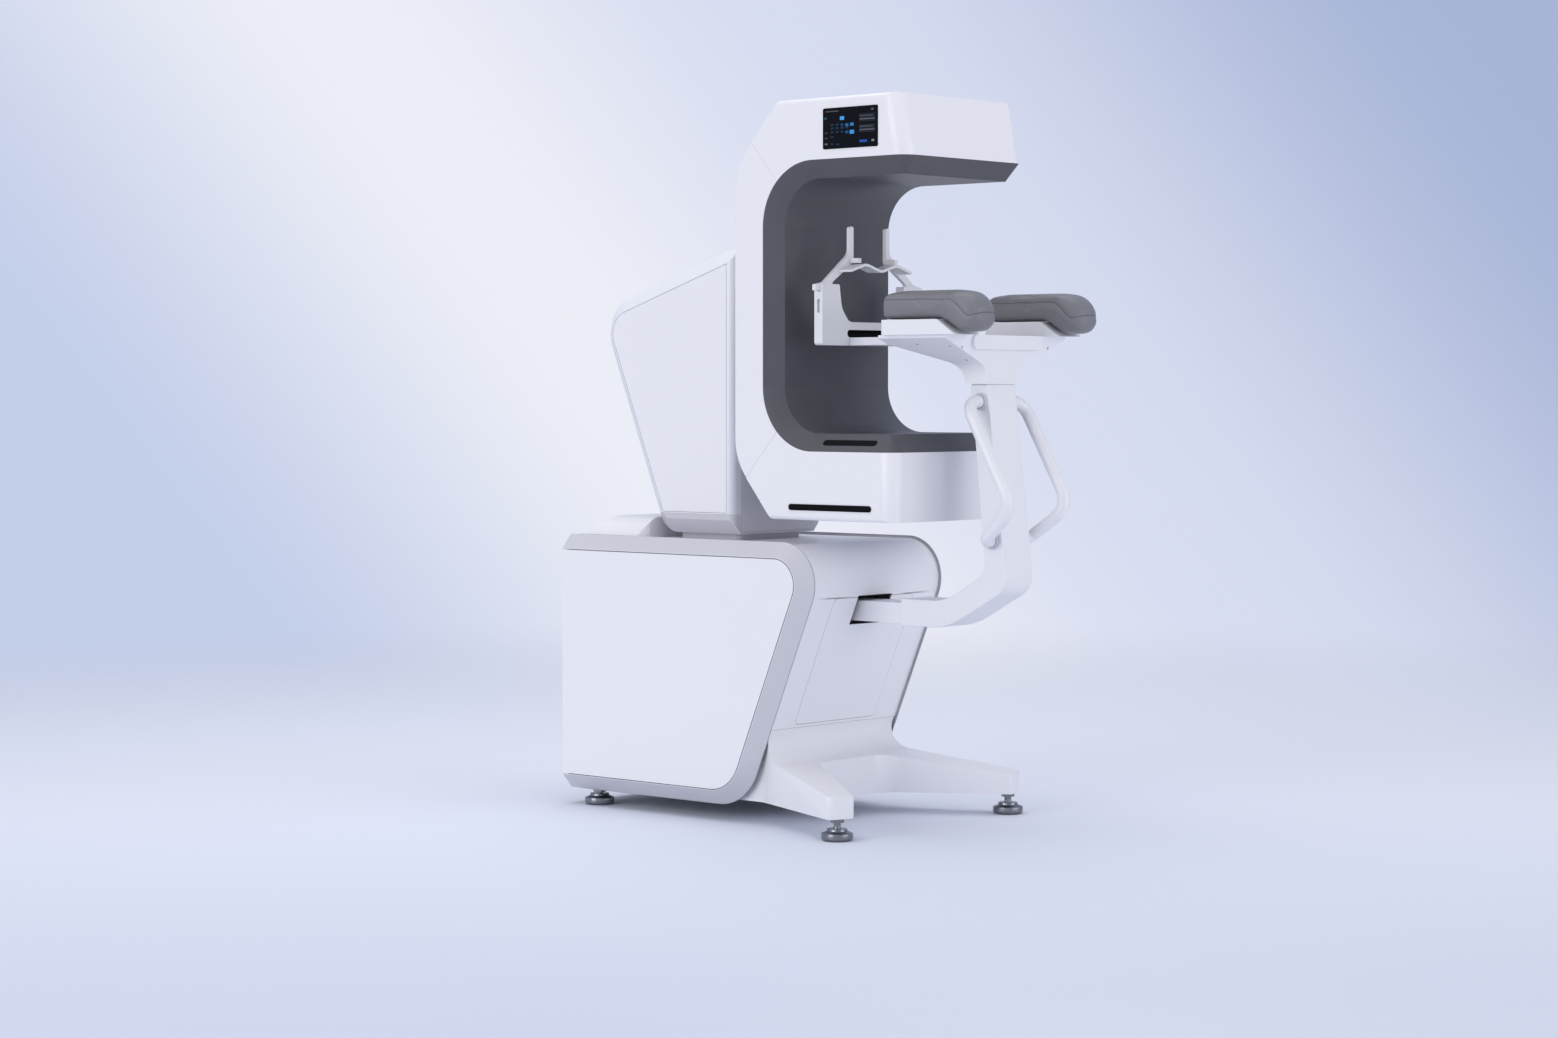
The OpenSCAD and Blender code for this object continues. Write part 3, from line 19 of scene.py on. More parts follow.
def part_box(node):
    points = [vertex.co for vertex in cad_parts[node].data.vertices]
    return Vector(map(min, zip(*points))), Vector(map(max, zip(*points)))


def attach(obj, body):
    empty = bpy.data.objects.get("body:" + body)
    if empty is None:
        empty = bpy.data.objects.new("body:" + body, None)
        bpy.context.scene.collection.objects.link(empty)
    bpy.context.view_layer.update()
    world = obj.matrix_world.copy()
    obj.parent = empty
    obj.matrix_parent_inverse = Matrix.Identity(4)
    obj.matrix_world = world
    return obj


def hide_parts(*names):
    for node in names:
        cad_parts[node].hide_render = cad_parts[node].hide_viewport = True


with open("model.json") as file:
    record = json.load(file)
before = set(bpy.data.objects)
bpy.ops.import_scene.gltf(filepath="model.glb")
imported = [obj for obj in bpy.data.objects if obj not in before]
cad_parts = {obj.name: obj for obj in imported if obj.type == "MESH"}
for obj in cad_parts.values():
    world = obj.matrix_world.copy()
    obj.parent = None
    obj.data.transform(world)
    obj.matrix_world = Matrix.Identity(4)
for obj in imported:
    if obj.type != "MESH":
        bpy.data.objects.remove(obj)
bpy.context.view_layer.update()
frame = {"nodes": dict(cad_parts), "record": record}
nodes = frame["nodes"]
scene = bpy.context.scene
scene.view_settings.view_transform = "Standard"

# %% [markdown]
# ## The camera
# The photograph was taken from the left front with a long lens, nearly level with the middle of the
# machine. A camera needs a place, a direction and a focal length. The direction is written as an azimuth
# and a small downward pitch, and the lens follows from the width of the sensor and the focal length in
# image pixels.

# %% Camera
IMAGE_W, FOCAL_PX, SENSOR_MM = 1558, 3211, 36.0
AZIMUTH, PITCH = math.radians(48.3), math.radians(2.265)
CAMERA_PLACE = (-5.611, -4.847, 0.980)
level_reach = math.cos(PITCH)
aim = Vector((math.sin(AZIMUTH) * level_reach, math.cos(AZIMUTH) * level_reach, -math.sin(PITCH)))
lens = bpy.data.cameras.new("studio_camera")
lens.sensor_width = SENSOR_MM
lens.lens = SENSOR_MM * FOCAL_PX / IMAGE_W
camera = bpy.data.objects.new("studio_camera", lens)
camera.location = CAMERA_PLACE
camera.rotation_euler = aim.to_track_quat("-Z", "Y").to_euler()
scene.collection.objects.link(camera)
scene.camera = camera
print("camera lens", round(lens.lens, 1), "mm")

# %% [markdown]
# ## Shared surface effects
# Several finishes share an effect: moulded covers and coated metal both have a fine skin, and every large
# cover drifts a little in tone. Each effect is a node group with named inputs, built once and placed in
# each material with its own values. The groups read Object coordinates, which are metres in the machine's
# own frame, so a scale of 900 means 900 grains in a metre.


# %% Group helpers
def new_group(name, inputs, outputs):
    """An empty shader group: an input is (name, socket type, value), an output is (name, socket type)."""
    tree = bpy.data.node_groups.new(name, "ShaderNodeTree")
    for label, kind, value in inputs:
        tree.interface.new_socket(label, in_out="INPUT", socket_type=kind).default_value = value
    for label, kind in outputs:
        tree.interface.new_socket(label, in_out="OUTPUT", socket_type=kind)
    return tree, tree.nodes.new("NodeGroupInput"), tree.nodes.new("NodeGroupOutput")


def add_node(tree, kind, values=None, **settings):
    """One node with its settings and the values of its named or numbered input sockets."""
    made = tree.nodes.new(kind)
    for label, value in settings.items():
        setattr(made, label, value)
    for label, value in (values or {}).items():
        made.inputs[label].default_value = value
    return made


def wire(tree, *pairs):
    """Links in a node tree, each given as (output socket, input socket)."""
    for source, target in pairs:
        tree.links.new(source, target)


def math_node(tree, operation, a, b=None, clamp=False):
    """A Math node on two sockets or numbers, put out as its value socket."""
    made = add_node(tree, "ShaderNodeMath", operation=operation, use_clamp=clamp)
    for place, item in enumerate((a, b)):
        if isinstance(item, (int, float)):
            made.inputs[place].default_value = item
        elif item is not None:
            tree.links.new(item, made.inputs[place])
    return made.outputs[0]


FLOAT, COLOUR = "NodeSocketFloat", "NodeSocketColor"
print("group helpers ready")

# %% [markdown]
# ### Moulded skin
# A sprayed or moulded cover is never a perfect mirror: it has a slow orange peel and a much finer grain.
# Bump is enough for both, because neither is deep enough to change an outline. The group adds the two
# noises to one height.

# %% Moulded skin group
skin, skin_in, skin_out = new_group(
    "moulded_skin",
    [("Grain scale", FLOAT, 1400.0), ("Peel scale", FLOAT, 160.0), ("Peel share", FLOAT, 0.5)],
    [("Height", FLOAT)])
place = add_node(skin, "ShaderNodeTexCoord")
grain = add_node(skin, "ShaderNodeTexNoise", {"Detail": 2.0})
peel = add_node(skin, "ShaderNodeTexNoise", {"Detail": 1.0})
for noise, scale in ((grain, "Grain scale"), (peel, "Peel scale")):
    wire(skin, (place.outputs["Object"], noise.inputs["Vector"]),
         (skin_in.outputs[scale], noise.inputs["Scale"]))
grain_share = math_node(skin, "SUBTRACT", 1.0, skin_in.outputs["Peel share"])
fine = math_node(skin, "MULTIPLY", grain.outputs["Fac"], grain_share)
slow = math_node(skin, "MULTIPLY", peel.outputs["Fac"], skin_in.outputs["Peel share"])
wire(skin, (math_node(skin, "ADD", fine, slow), skin_out.inputs["Height"]))
print("group", skin.name)

# %% [markdown]
# ### Tone drift and floor dust
# Large white panels shift a little in brightness from place to place, and the lowest hand's length of
# anything that stands on a floor greys with dust. Both belong to the colour. A slow noise gives the
# drift, and the height above the floor, broken up by a second noise, gives the dust.

# %% Tone group
DUST_HEIGHT = 0.16
tone, tone_in, tone_out = new_group(
    "cover_tone",
    [("Color", COLOUR, (0.8, 0.8, 0.85, 1.0)), ("Shade", COLOUR, (0.7, 0.7, 0.75, 1.0)),
     ("Drift", FLOAT, 0.3), ("Drift scale", FLOAT, 3.0), ("Dust", FLOAT, 0.2),
     ("Roughness", FLOAT, 0.4), ("Spread", FLOAT, 0.08)],
    [("Color", COLOUR), ("Roughness", FLOAT)])
place = add_node(tone, "ShaderNodeTexCoord").outputs["Object"]
cloud = add_node(tone, "ShaderNodeTexNoise", {"Detail": 3.0, "Roughness": 0.55})
speck = add_node(tone, "ShaderNodeTexNoise", {"Scale": 45.0, "Detail": 4.0})
split = add_node(tone, "ShaderNodeSeparateXYZ")
low = add_node(tone, "ShaderNodeMapRange", {"From Min": DUST_HEIGHT, "From Max": 0.0})
wire(tone, (place, cloud.inputs["Vector"]), (place, speck.inputs["Vector"]), (place, split.inputs[0]),
     (tone_in.outputs["Drift scale"], cloud.inputs["Scale"]), (split.outputs["Z"], low.inputs["Value"]))
dust = math_node(tone, "MULTIPLY", low.outputs[0], speck.outputs["Fac"])
dust = math_node(tone, "MULTIPLY", dust, tone_in.outputs["Dust"], clamp=True)
drift = math_node(tone, "MULTIPLY", cloud.outputs["Fac"], tone_in.outputs["Drift"], clamp=True)
shaded = add_node(tone, "ShaderNodeMix", data_type="RGBA")
wire(tone, (math_node(tone, "ADD", drift, dust, clamp=True), shaded.inputs["Factor"]),
     (tone_in.outputs["Color"], shaded.inputs["A"]), (tone_in.outputs["Shade"], shaded.inputs["B"]),
     (shaded.outputs["Result"], tone_out.inputs["Color"]))
wander = math_node(tone, "SUBTRACT", cloud.outputs["Fac"], 0.5)
wander = math_node(tone, "MULTIPLY", wander, tone_in.outputs["Spread"])
rough = math_node(tone, "ADD", tone_in.outputs["Roughness"], wander, clamp=True)
wire(tone, (rough, tone_out.inputs["Roughness"]))
print("group", tone.name)

# %% [markdown]
# ### Rim mask
# The side covers are one moulding each: a white flat panel inside a sloping rim of light grey. The flat
# panel is the part that stands furthest from the middle plane, so the distance from that plane tells
# panel and rim apart. A mask on Object coordinates needs no second mesh and follows the cover wherever it
# goes.

# %% Rim mask group
RIM_STEP = 0.00025
rim, rim_in, rim_out = new_group("rim_mask", [("Panel distance", FLOAT, 0.25)], [("Panel", FLOAT)])
place = add_node(rim, "ShaderNodeTexCoord")
split = add_node(rim, "ShaderNodeSeparateXYZ")
wire(rim, (place.outputs["Object"], split.inputs[0]))
away = math_node(rim, "ABSOLUTE", split.outputs["X"])
away = math_node(rim, "SUBTRACT", away, rim_in.outputs["Panel distance"])
wire(rim, (math_node(rim, "MULTIPLY", away, 1 / RIM_STEP, clamp=True), rim_out.inputs["Panel"]))
print("group", rim.name)

# %% [markdown]
# ### Brushed and turned metal
# Turned feet and milled plates show fine parallel lines. A noise squeezed along one direction gives them:
# its coordinates are stretched more than a hundredfold on the axis across the lines. The same value moves
# the roughness and the bump.

# %% Brushed metal group
LINES_PER_METRE = (12.0, 12.0, 1900.0)
brushed, brushed_in, brushed_out = new_group(
    "brushed_lines", [("Roughness", FLOAT, 0.35), ("Spread", FLOAT, 0.25)],
    [("Roughness", FLOAT), ("Height", FLOAT)])
place = add_node(brushed, "ShaderNodeTexCoord")
stretch = add_node(brushed, "ShaderNodeMapping", {"Scale": LINES_PER_METRE})
lines = add_node(brushed, "ShaderNodeTexNoise", {"Scale": 1.0, "Detail": 3.0})
wire(brushed, (place.outputs["Object"], stretch.inputs["Vector"]),
     (stretch.outputs["Vector"], lines.inputs["Vector"]),
     (lines.outputs["Fac"], brushed_out.inputs["Height"]))
wander = math_node(brushed, "SUBTRACT", lines.outputs["Fac"], 0.5)
wander = math_node(brushed, "MULTIPLY", wander, brushed_in.outputs["Spread"])
rough = math_node(brushed, "ADD", brushed_in.outputs["Roughness"], wander, clamp=True)
wire(brushed, (rough, brushed_out.inputs["Roughness"]))
print("group", brushed.name)

# %% [markdown]
# ### Vinyl grain
# Upholstery vinyl is embossed with small pebbles about a millimetre and a half across, and the valleys
# between them are darkened with painted shade. A Voronoi texture that measures the distance to the cell
# edge is just that shape, and a noise keeps the cells from looking like tiles.

# %% Vinyl grain group
PEBBLES_PER_METRE, PEBBLE_BEND, VALLEY_WIDTH = 620.0, 0.0016, 0.22
vinyl, vinyl_in, vinyl_out = new_group(
    "vinyl_grain", [("Scale", FLOAT, PEBBLES_PER_METRE)], [("Height", FLOAT), ("Valley", FLOAT)])
place = add_node(vinyl, "ShaderNodeTexCoord").outputs["Object"]
bend = add_node(vinyl, "ShaderNodeTexNoise", {"Scale": 300.0, "Detail": 2.0})
shift = add_node(vinyl, "ShaderNodeVectorMath", {1: (PEBBLE_BEND,) * 3}, operation="MULTIPLY_ADD")
cells = add_node(vinyl, "ShaderNodeTexVoronoi", feature="DISTANCE_TO_EDGE")
pebble = add_node(vinyl, "ShaderNodeMapRange", {"From Min": 0.0, "From Max": VALLEY_WIDTH})
wire(vinyl, (place, bend.inputs["Vector"]), (bend.outputs["Color"], shift.inputs[0]),
     (place, shift.inputs[2]), (shift.outputs[0], cells.inputs["Vector"]),
     (vinyl_in.outputs["Scale"], cells.inputs["Scale"]), (cells.outputs["Distance"], pebble.inputs["Value"]),
     (pebble.outputs[0], vinyl_out.inputs["Height"]),
     (math_node(vinyl, "SUBTRACT", 1.0, pebble.outputs[0]), vinyl_out.inputs["Valley"]))
print("group", vinyl.name)

# %% [markdown]
# ## Finishes
# Each slot of the part's record becomes one material. The shader itself stays in the material, and only
# what changes over the surface comes from the groups. The whites are kept below pure white, so that soft
# light still shades them.


# %% Finish helper
BUMP_DEPTH = 0.001


def place_group(tree, source, values=None):
    """A group placed in a material, with its own input values."""
    made = tree.nodes.new("ShaderNodeGroup")
    made.node_tree = source
    for label, value in (values or {}).items():
        made.inputs[label].default_value = value
    return made


def finish(name, colour, shade, roughness, drift=0.35, dust=0.25, drift_scale=3.0, bump=0.06, grain=1400.0,
           peel=0.5, **shader):
    """A moulded or coated finish: tone drift in the colour, a wandering roughness and a fine skin as bump."""
    made = bpy.data.materials.new(name)
    made.use_nodes = True
    tree = made.node_tree
    principled = tree.nodes["Principled BSDF"]
    for label, value in shader.items():
        principled.inputs[label.replace("_", " ").title().replace("Ior", "IOR")].default_value = value
    tones = place_group(tree, tone, {"Color": (*colour, 1.0), "Shade": (*shade, 1.0), "Drift": drift,
                                     "Drift scale": drift_scale, "Dust": dust, "Roughness": roughness})
    surface = place_group(tree, skin, {"Grain scale": grain, "Peel share": peel})
    relief = add_node(tree, "ShaderNodeBump", {"Strength": bump, "Distance": BUMP_DEPTH})
    wire(tree, (tones.outputs["Color"], principled.inputs["Base Color"]),
         (tones.outputs["Roughness"], principled.inputs["Roughness"]),
         (surface.outputs["Height"], relief.inputs["Height"]),
         (relief.outputs["Normal"], principled.inputs["Normal"]))
    return made


print("finish helper ready")

# %% [markdown]
# ### Whites and greys
# The big covers are satin lacquer, the column and legs are powder-coated metal with a slightly stronger
# grain, the grips are smoother, and the head holder is plain moulded plastic. The lining of the C is a
# dark satin grey.

# %% White and grey finishes
WHITE, WHITE_SHADE = (0.80, 0.797, 0.845), (0.735, 0.735, 0.785)
RIM, RIM_SHADE = (0.56, 0.56, 0.62), (0.50, 0.50, 0.56)
LACQUER = {"bump": 0.04, "coat_weight": 0.12, "coat_roughness": 0.3}
finishes = {
    "cover_white": finish("cover_white", WHITE, WHITE_SHADE, 0.36, **LACQUER),
    "frame_white": finish("frame_white", (0.785, 0.785, 0.835), (0.72, 0.722, 0.775), 0.44, bump=0.10,
                          grain=1900.0, peel=0.25),
    "grip_white": finish("grip_white", (0.78, 0.78, 0.83), WHITE_SHADE, 0.30, bump=0.03,
                         coat_weight=0.25, coat_roughness=0.2),
    "holder_white": finish("holder_white", (0.74, 0.742, 0.79), (0.68, 0.684, 0.74), 0.40, bump=0.05,
                           drift_scale=9.0),
    "trim_grey": finish("trim_grey", RIM, RIM_SHADE, 0.45, bump=0.08),
    "liner_grey": finish("liner_grey", (0.098, 0.098, 0.112), (0.072, 0.072, 0.083), 0.46, drift=0.75,
                         drift_scale=4.5, dust=0.0, bump=0.10, grain=1700.0, peel=0.3,
                         specular_ior_level=0.3),
    "inner_dark": finish("inner_dark", (0.05, 0.05, 0.055), (0.035, 0.035, 0.04), 0.6, bump=0.12),
    "belt_rubber": finish("belt_rubber", (0.022, 0.022, 0.024), (0.035, 0.035, 0.036), 0.75, bump=0.2,
                          grain=2400.0),
}
print("finishes:", sorted(finishes))

# %% [markdown]
# ### Side covers
# The rim mask chooses between the white of the panel and the grey of the rim. The mix sits between the
# tone group and the shader, so both halves share one skin and one roughness.


# %% Two-tone side covers
def two_tone(name, panel_distance, rim_colour):
    """A white panel inside a rim of another tone, told apart by the distance from the middle plane."""
    made = finish(name, WHITE, WHITE_SHADE, 0.36, **LACQUER)
    tree = made.node_tree
    base = tree.nodes["Principled BSDF"].inputs["Base Color"]
    white = base.links[0].from_socket
    mask = place_group(tree, rim, {"Panel distance": panel_distance})
    shade = tuple(0.9 * c for c in rim_colour)
    grey = place_group(tree, tone, {"Color": (*rim_colour, 1.0), "Shade": (*shade, 1.0), "Dust": 0.25})
    mix = add_node(tree, "ShaderNodeMix", data_type="RGBA")
    wire(tree, (mask.outputs["Panel"], mix.inputs["Factor"]), (grey.outputs["Color"], mix.inputs["A"]),
         (white, mix.inputs["B"]), (mix.outputs["Result"], base))
    return made


CABINET_PANEL_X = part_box("side_cover_right")[1][0]
HOUSING_PANEL_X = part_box("housing_side_right")[1][0]
PANEL_MARGIN = 0.0005
cabinet_finish = two_tone("cabinet_two_tone", CABINET_PANEL_X - PANEL_MARGIN, RIM)
housing_finish = two_tone("housing_two_tone", HOUSING_PANEL_X - PANEL_MARGIN, (0.73, 0.735, 0.80))
print("two-tone covers:", cabinet_finish.name, housing_finish.name)

# %% [markdown]
# ### Metal, glass and vinyl
# The feet are turned steel, so they take the brushed lines. Glass over a dark screen and the black strips
# are smooth and reflect the room only faintly. The pads are grey vinyl with embossed pebbles whose
# valleys carry a little painted shade.


# %% Metal and glass finishes
def metal(name, colour, roughness, spread):
    """Metal with parallel tool lines in its roughness and bump."""
    made = finish(name, colour, tuple(0.8 * c for c in colour), roughness, drift=0.5, drift_scale=14.0,
                  dust=0.0, metallic=1.0)
    tree = made.node_tree
    sockets = tree.nodes["Principled BSDF"].inputs
    drawn = place_group(tree, brushed, {"Roughness": roughness, "Spread": spread})
    wire(tree, (drawn.outputs["Roughness"], sockets["Roughness"]),
         (drawn.outputs["Height"], sockets["Normal"].links[0].from_node.inputs["Height"]))
    return made


finishes["foot_steel"] = metal("foot_steel", (0.24, 0.245, 0.26), 0.27, 0.3)
finishes["inner_metal"] = metal("inner_metal", (0.50, 0.51, 0.53), 0.42, 0.2)
finishes["screen_black"] = finish("screen_black", (0.004, 0.005, 0.007), (0.007, 0.008, 0.011), 0.16,
                                  dust=0.0, bump=0.005, specular_ior_level=0.06)
finishes["strip_black"] = finish("strip_black", (0.004, 0.004, 0.005), (0.008, 0.008, 0.009), 0.34,
                                 dust=0.0, bump=0.02, specular_ior_level=0.05)
print("metal and glass ready")

# %% Vinyl finish
pad_vinyl = finish("pad_vinyl", (0.21, 0.21, 0.23), (0.165, 0.165, 0.183), 0.46, drift=0.5, drift_scale=11.0,
                   dust=0.0, bump=0.28, coat_weight=0.30, coat_roughness=0.38)
tree = pad_vinyl.node_tree
sockets = tree.nodes["Principled BSDF"].inputs
pebbles = place_group(tree, vinyl)
# Painted shade: the pebble valleys are multiplied darker in the base colour.
valley_shade = add_node(tree, "ShaderNodeMix", data_type="RGBA", blend_type="MULTIPLY")
valley_shade.inputs["B"].default_value = (0.72, 0.72, 0.73, 1.0)
wire(tree, (pebbles.outputs["Height"], sockets["Normal"].links[0].from_node.inputs["Height"]),
     (pebbles.outputs["Valley"], valley_shade.inputs["Factor"]),
     (sockets["Base Color"].links[0].from_socket, valley_shade.inputs["A"]),
     (valley_shade.outputs["Result"], sockets["Base Color"]))
finishes["pad_grey"] = pad_vinyl
print("vinyl ready")

# %% [markdown]
# ## Finishes onto the CAD solids
# Every CAD node already has its record slot, so its material follows from the slot. A real moulding has
# no razor edges: a Weld joins the loose triangles and a small Bevel rounds every edge sharper than a
# third of a right angle. The meshes themselves stay as the CAD made them, because both are modifiers. A
# few nodes have rounds of their own, or flat sheets that need none.

# %% Dress the CAD nodes
EDGE_ROUND = {"cover_white": 0.0025, "frame_white": 0.003, "holder_white": 0.0012, "trim_grey": 0.0015,
              "liner_grey": 0.0012, "foot_steel": 0.0008, "screen_black": 0.0006, "strip_black": 0.0004}
NODE_ROUND = {"access_panel": 0.0006, "front_cover": 0.0006, "chin_rest": 0.0015, "rear_panel": 0.0,
              "head_yoke": 0.0, "housing_tray": 0.0}
WELD_REACH, ROUND_STEPS, SHARP_ANGLE = 0.00002, 3, math.radians(32)
TWO_TONE = {"side_cover_left": cabinet_finish, "side_cover_right": cabinet_finish,
            "housing_side_left": housing_finish, "housing_side_right": housing_finish}
for part in frame["record"]["subparts"]:
    name, slot_name = part["node"], part["material_slot"]
    node = nodes[name]
    node.data.materials.clear()
    node.data.materials.append(TWO_TONE.get(name, finishes[slot_name]))
    width = NODE_ROUND.get(name, EDGE_ROUND.get(slot_name, 0.0))
    if width:
        node.modifiers.new("join_triangles", "WELD").merge_threshold = WELD_REACH
        soft = node.modifiers.new("soft_edges", "BEVEL")
        soft.width = width
        soft.segments = ROUND_STEPS
        soft.limit_method = "ANGLE"
        soft.angle_limit = SHARP_ANGLE
        soft.harden_normals = True

# %% [markdown]
# ## Tools for new surfaces
# A new piece is either a grid of points worked out from two parameters, or a small section carried along
# a path. Both end as arrays of points and quads. Merging doubles afterwards closes the seam and the poles
# of such a grid.

# %% Mesh helpers
MERGE_REACH = 1e-6


def grid_faces(rows, cols, wrap_rows=False, wrap_cols=False):
    """Quads of a grid: point (i, j), the next in its row, the one across from it, and the one beside it."""
    i = np.arange(rows if wrap_rows else rows - 1)[:, None]
    j = np.arange(cols if wrap_cols else cols - 1)[None, :]
    k, m = (i + 1) % rows, (j + 1) % cols
    return np.stack([i * cols + j, i * cols + m, k * cols + m, k * cols + j], axis=-1).reshape(-1, 4)


def coordinates(mesh):
    """All points of a mesh as one array."""
    flat = np.empty(len(mesh.vertices) * 3)
    mesh.vertices.foreach_get("co", flat)
    return flat.reshape(-1, 3)


def shade_faces(mesh, smooth=True):
    """Every face of a mesh smooth, or every face flat."""
    mesh.polygons.foreach_set("use_smooth", np.full(len(mesh.polygons), smooth))


def put_piece(name, mesh, body):
    """A mesh as a piece of the machine, at the origin, that rides on a body."""
    piece = bpy.data.objects.new(name, mesh)
    scene.collection.objects.link(piece)
    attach(piece, body)
    return piece


def put_mesh(name, points, faces, material, body):
    """Points and faces as a closed, smooth-shaded piece that rides on a body."""
    mesh = bpy.data.meshes.new(name)
    mesh.from_pydata(np.asarray(points, float).reshape(-1, 3).tolist(), [], np.asarray(faces).tolist())
    work = bmesh.new()
    work.from_mesh(mesh)
    bmesh.ops.remove_doubles(work, verts=work.verts, dist=MERGE_REACH)
    bmesh.ops.recalc_face_normals(work, faces=work.faces)
    work.to_mesh(mesh)
    work.free()
    shade_faces(mesh)
    mesh.materials.append(material)
    return put_piece(name, mesh, body)


print("mesh helpers ready")

# %% Outline and section helpers
END_STEPS = 3


def rounded_outline(corners, steps=10):
    """A closed outline with true arcs. At a corner of radius r the edges stop r / tan(half angle) short of
    it, and an arc about the point r / sin(half angle) along the bisector joins them, as a spherical blend of
    its two radii."""
    table = np.array(corners, float)
    corner, r = table[:, :2], table[:, 2:]
    back = np.roll(corner, 1, axis=0) - corner
    ahead = np.roll(corner, -1, axis=0) - corner
    back /= np.linalg.norm(back, axis=1, keepdims=True)
    ahead /= np.linalg.norm(ahead, axis=1, keepdims=True)
    half = np.arccos(np.sum(back * ahead, axis=1, keepdims=True)) / 2
    bisector = (back + ahead) / np.linalg.norm(back + ahead, axis=1, keepdims=True)
    middle = corner + bisector * r / np.sin(half)
    first = corner + back * r / np.tan(half) - middle
    last = corner + ahead * r / np.tan(half) - middle
    f, sweep = np.linspace(0, 1, steps)[None, :, None], (math.pi - 2 * half)[:, None]
    arc = np.sin((1 - f) * sweep) * first[:, None] + np.sin(f * sweep) * last[:, None]
    return (middle[:, None] + arc / np.sin(sweep)).reshape(-1, 2)


def carried(path, normal, section, closed=True):
    """A section of (side, up) offsets carried along a path: side is tangent x normal, up is the normal."""
    path, normal = np.asarray(path, float), np.broadcast_to(np.asarray(normal, float), np.shape(path))
    tangent = np.roll(path, -1, axis=0) - np.roll(path, 1, axis=0)
    if not closed:
        tangent[0], tangent[-1] = path[1] - path[0], path[-1] - path[-2]
    tangent /= np.maximum(np.linalg.norm(tangent, axis=1, keepdims=True), 1e-12)
    side = np.cross(tangent, normal)
    side /= np.maximum(np.linalg.norm(side, axis=1, keepdims=True), 1e-12)
    section = np.asarray(section, float)
    return path[:, None] + side[:, None] * section[None, :, :1] + normal[:, None] * section[None, :, 1:]


def pointed(grid, path):
    """A carried section that closes to a point at both ends: its size grows as the square root of the steps
    from the nearer end, up to the last of the end steps."""
    steps = np.minimum(np.arange(len(path)), np.arange(len(path))[::-1])
    size = np.sqrt(np.clip(steps / END_STEPS, 0, 1))[:, None, None]
    return path[:, None] + (grid - path[:, None]) * size


def bead(radius, height, sides=10):
    """The section of a round bead: an ellipse of half width radius and half height height."""
    a = np.linspace(0, 2 * math.pi, sides, endpoint=False)
    return np.stack([radius * np.cos(a), height * np.sin(a)], axis=1)


def spaced(outline, step):
    """The same closed outline with points at most one step apart, evenly along its length."""
    loop = np.vstack([outline, outline[:1]])
    length = np.concatenate([[0], np.cumsum(np.linalg.norm(np.diff(loop, axis=0), axis=1))])
    at = np.linspace(0, length[-1], max(12, int(length[-1] / step)), endpoint=False)
    return np.stack([np.interp(at, length, loop[:, k]) for k in range(loop.shape[1])], axis=1)


def smoothed(path, times):
    """A path whose inner points are averaged with their neighbours, one, two and one parts, some times."""
    for _ in range(times):
        path[1:-1] = (path[:-2] + 2 * path[1:-1] + path[2:]) / 4
    return path


def onto_skin(mesh, path):
    """Each path point moved to the nearest point of a mesh of quads or triangles, with the normal there."""
    corners = np.empty(len(mesh.loops), int)
    mesh.loops.foreach_get("vertex_index", corners)
    faces = corners.reshape(len(mesh.polygons), -1)
    skin_tree = BVHTree.FromPolygons(coordinates(mesh).tolist(), faces.tolist())
    found = [skin_tree.find_nearest(Vector(p)) for p in path]
    return np.array([f[0] for f in found]), np.array([f[1] for f in found])


print("outline and section helpers ready")

# %% [markdown]
# ## The arm pads
# Each armrest carries a foam pad in sewn vinyl, whose nose droops over the front of its tray. A pad is a
# pillow about a bent spine: the outline of its side view shrinks towards the spine as the section widens,
# which is a superellipse in each section. Cloth with inner pressure then swells it, so that its flanks
# and top crown as a stuffed cover does, while the patch that rests on the tray is held still.

# %% Pad outline and spine
START_IN, TRAY_GAP, PAD_STEP = 0.0045, 0.0003, 0.004
pad_low, pad_high = (np.array(v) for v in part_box("pad_left"))
pad_middle, half_w = (pad_low[0] + pad_high[0]) / 2, (pad_high[0] - pad_low[0]) / 2
rest_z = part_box("tray_left")[1][2] + TRAY_GAP
nose_y, tail_y, top_z, drop_z = pad_low[1], pad_high[1], pad_high[2], pad_low[2]
first_nose, first_tail = nose_y + START_IN, tail_y - START_IN
first_top, first_drop, first_rest = top_z - START_IN, drop_z + START_IN, rest_z + 0.001
pad_side_view = spaced(rounded_outline([
    (first_tail, first_rest, 0.008), (first_tail, first_top, 0.020), (first_nose, first_top, 0.054),
    (first_nose, first_drop, 0.028), (nose_y + 0.056, first_drop, 0.012),
    (nose_y + 0.104, first_rest, 0.020)], 14), PAD_STEP)
mid_z = (rest_z + top_z) / 2
spine = np.array([[tail_y - 0.034, mid_z], [nose_y + 0.074, mid_z + 0.002], [nose_y + 0.046, mid_z - 0.020]])
print("pad outline points:", len(pad_side_view))

# %% Pad start form
NOSE_REACH, FLAT_POWER, ROUND_POWER = 0.085, 0.46, 0.34


def nearest_on_spine(points):
    """For each outline point the nearest point of the spine: the foot of its perpendicular on each straight,
    kept between the ends, and then the closer of the two feet."""
    a, d = spine[:-1], np.diff(spine, axis=0)
    f = np.clip(np.einsum("pij,ij->pi", points[:, None] - a, d) / np.sum(d * d, axis=1), 0, 1)
    feet = a + f[..., None] * d
    best = np.argmin(np.linalg.norm(points[:, None] - feet, axis=2), axis=1)
    return feet[np.arange(len(points)), best]


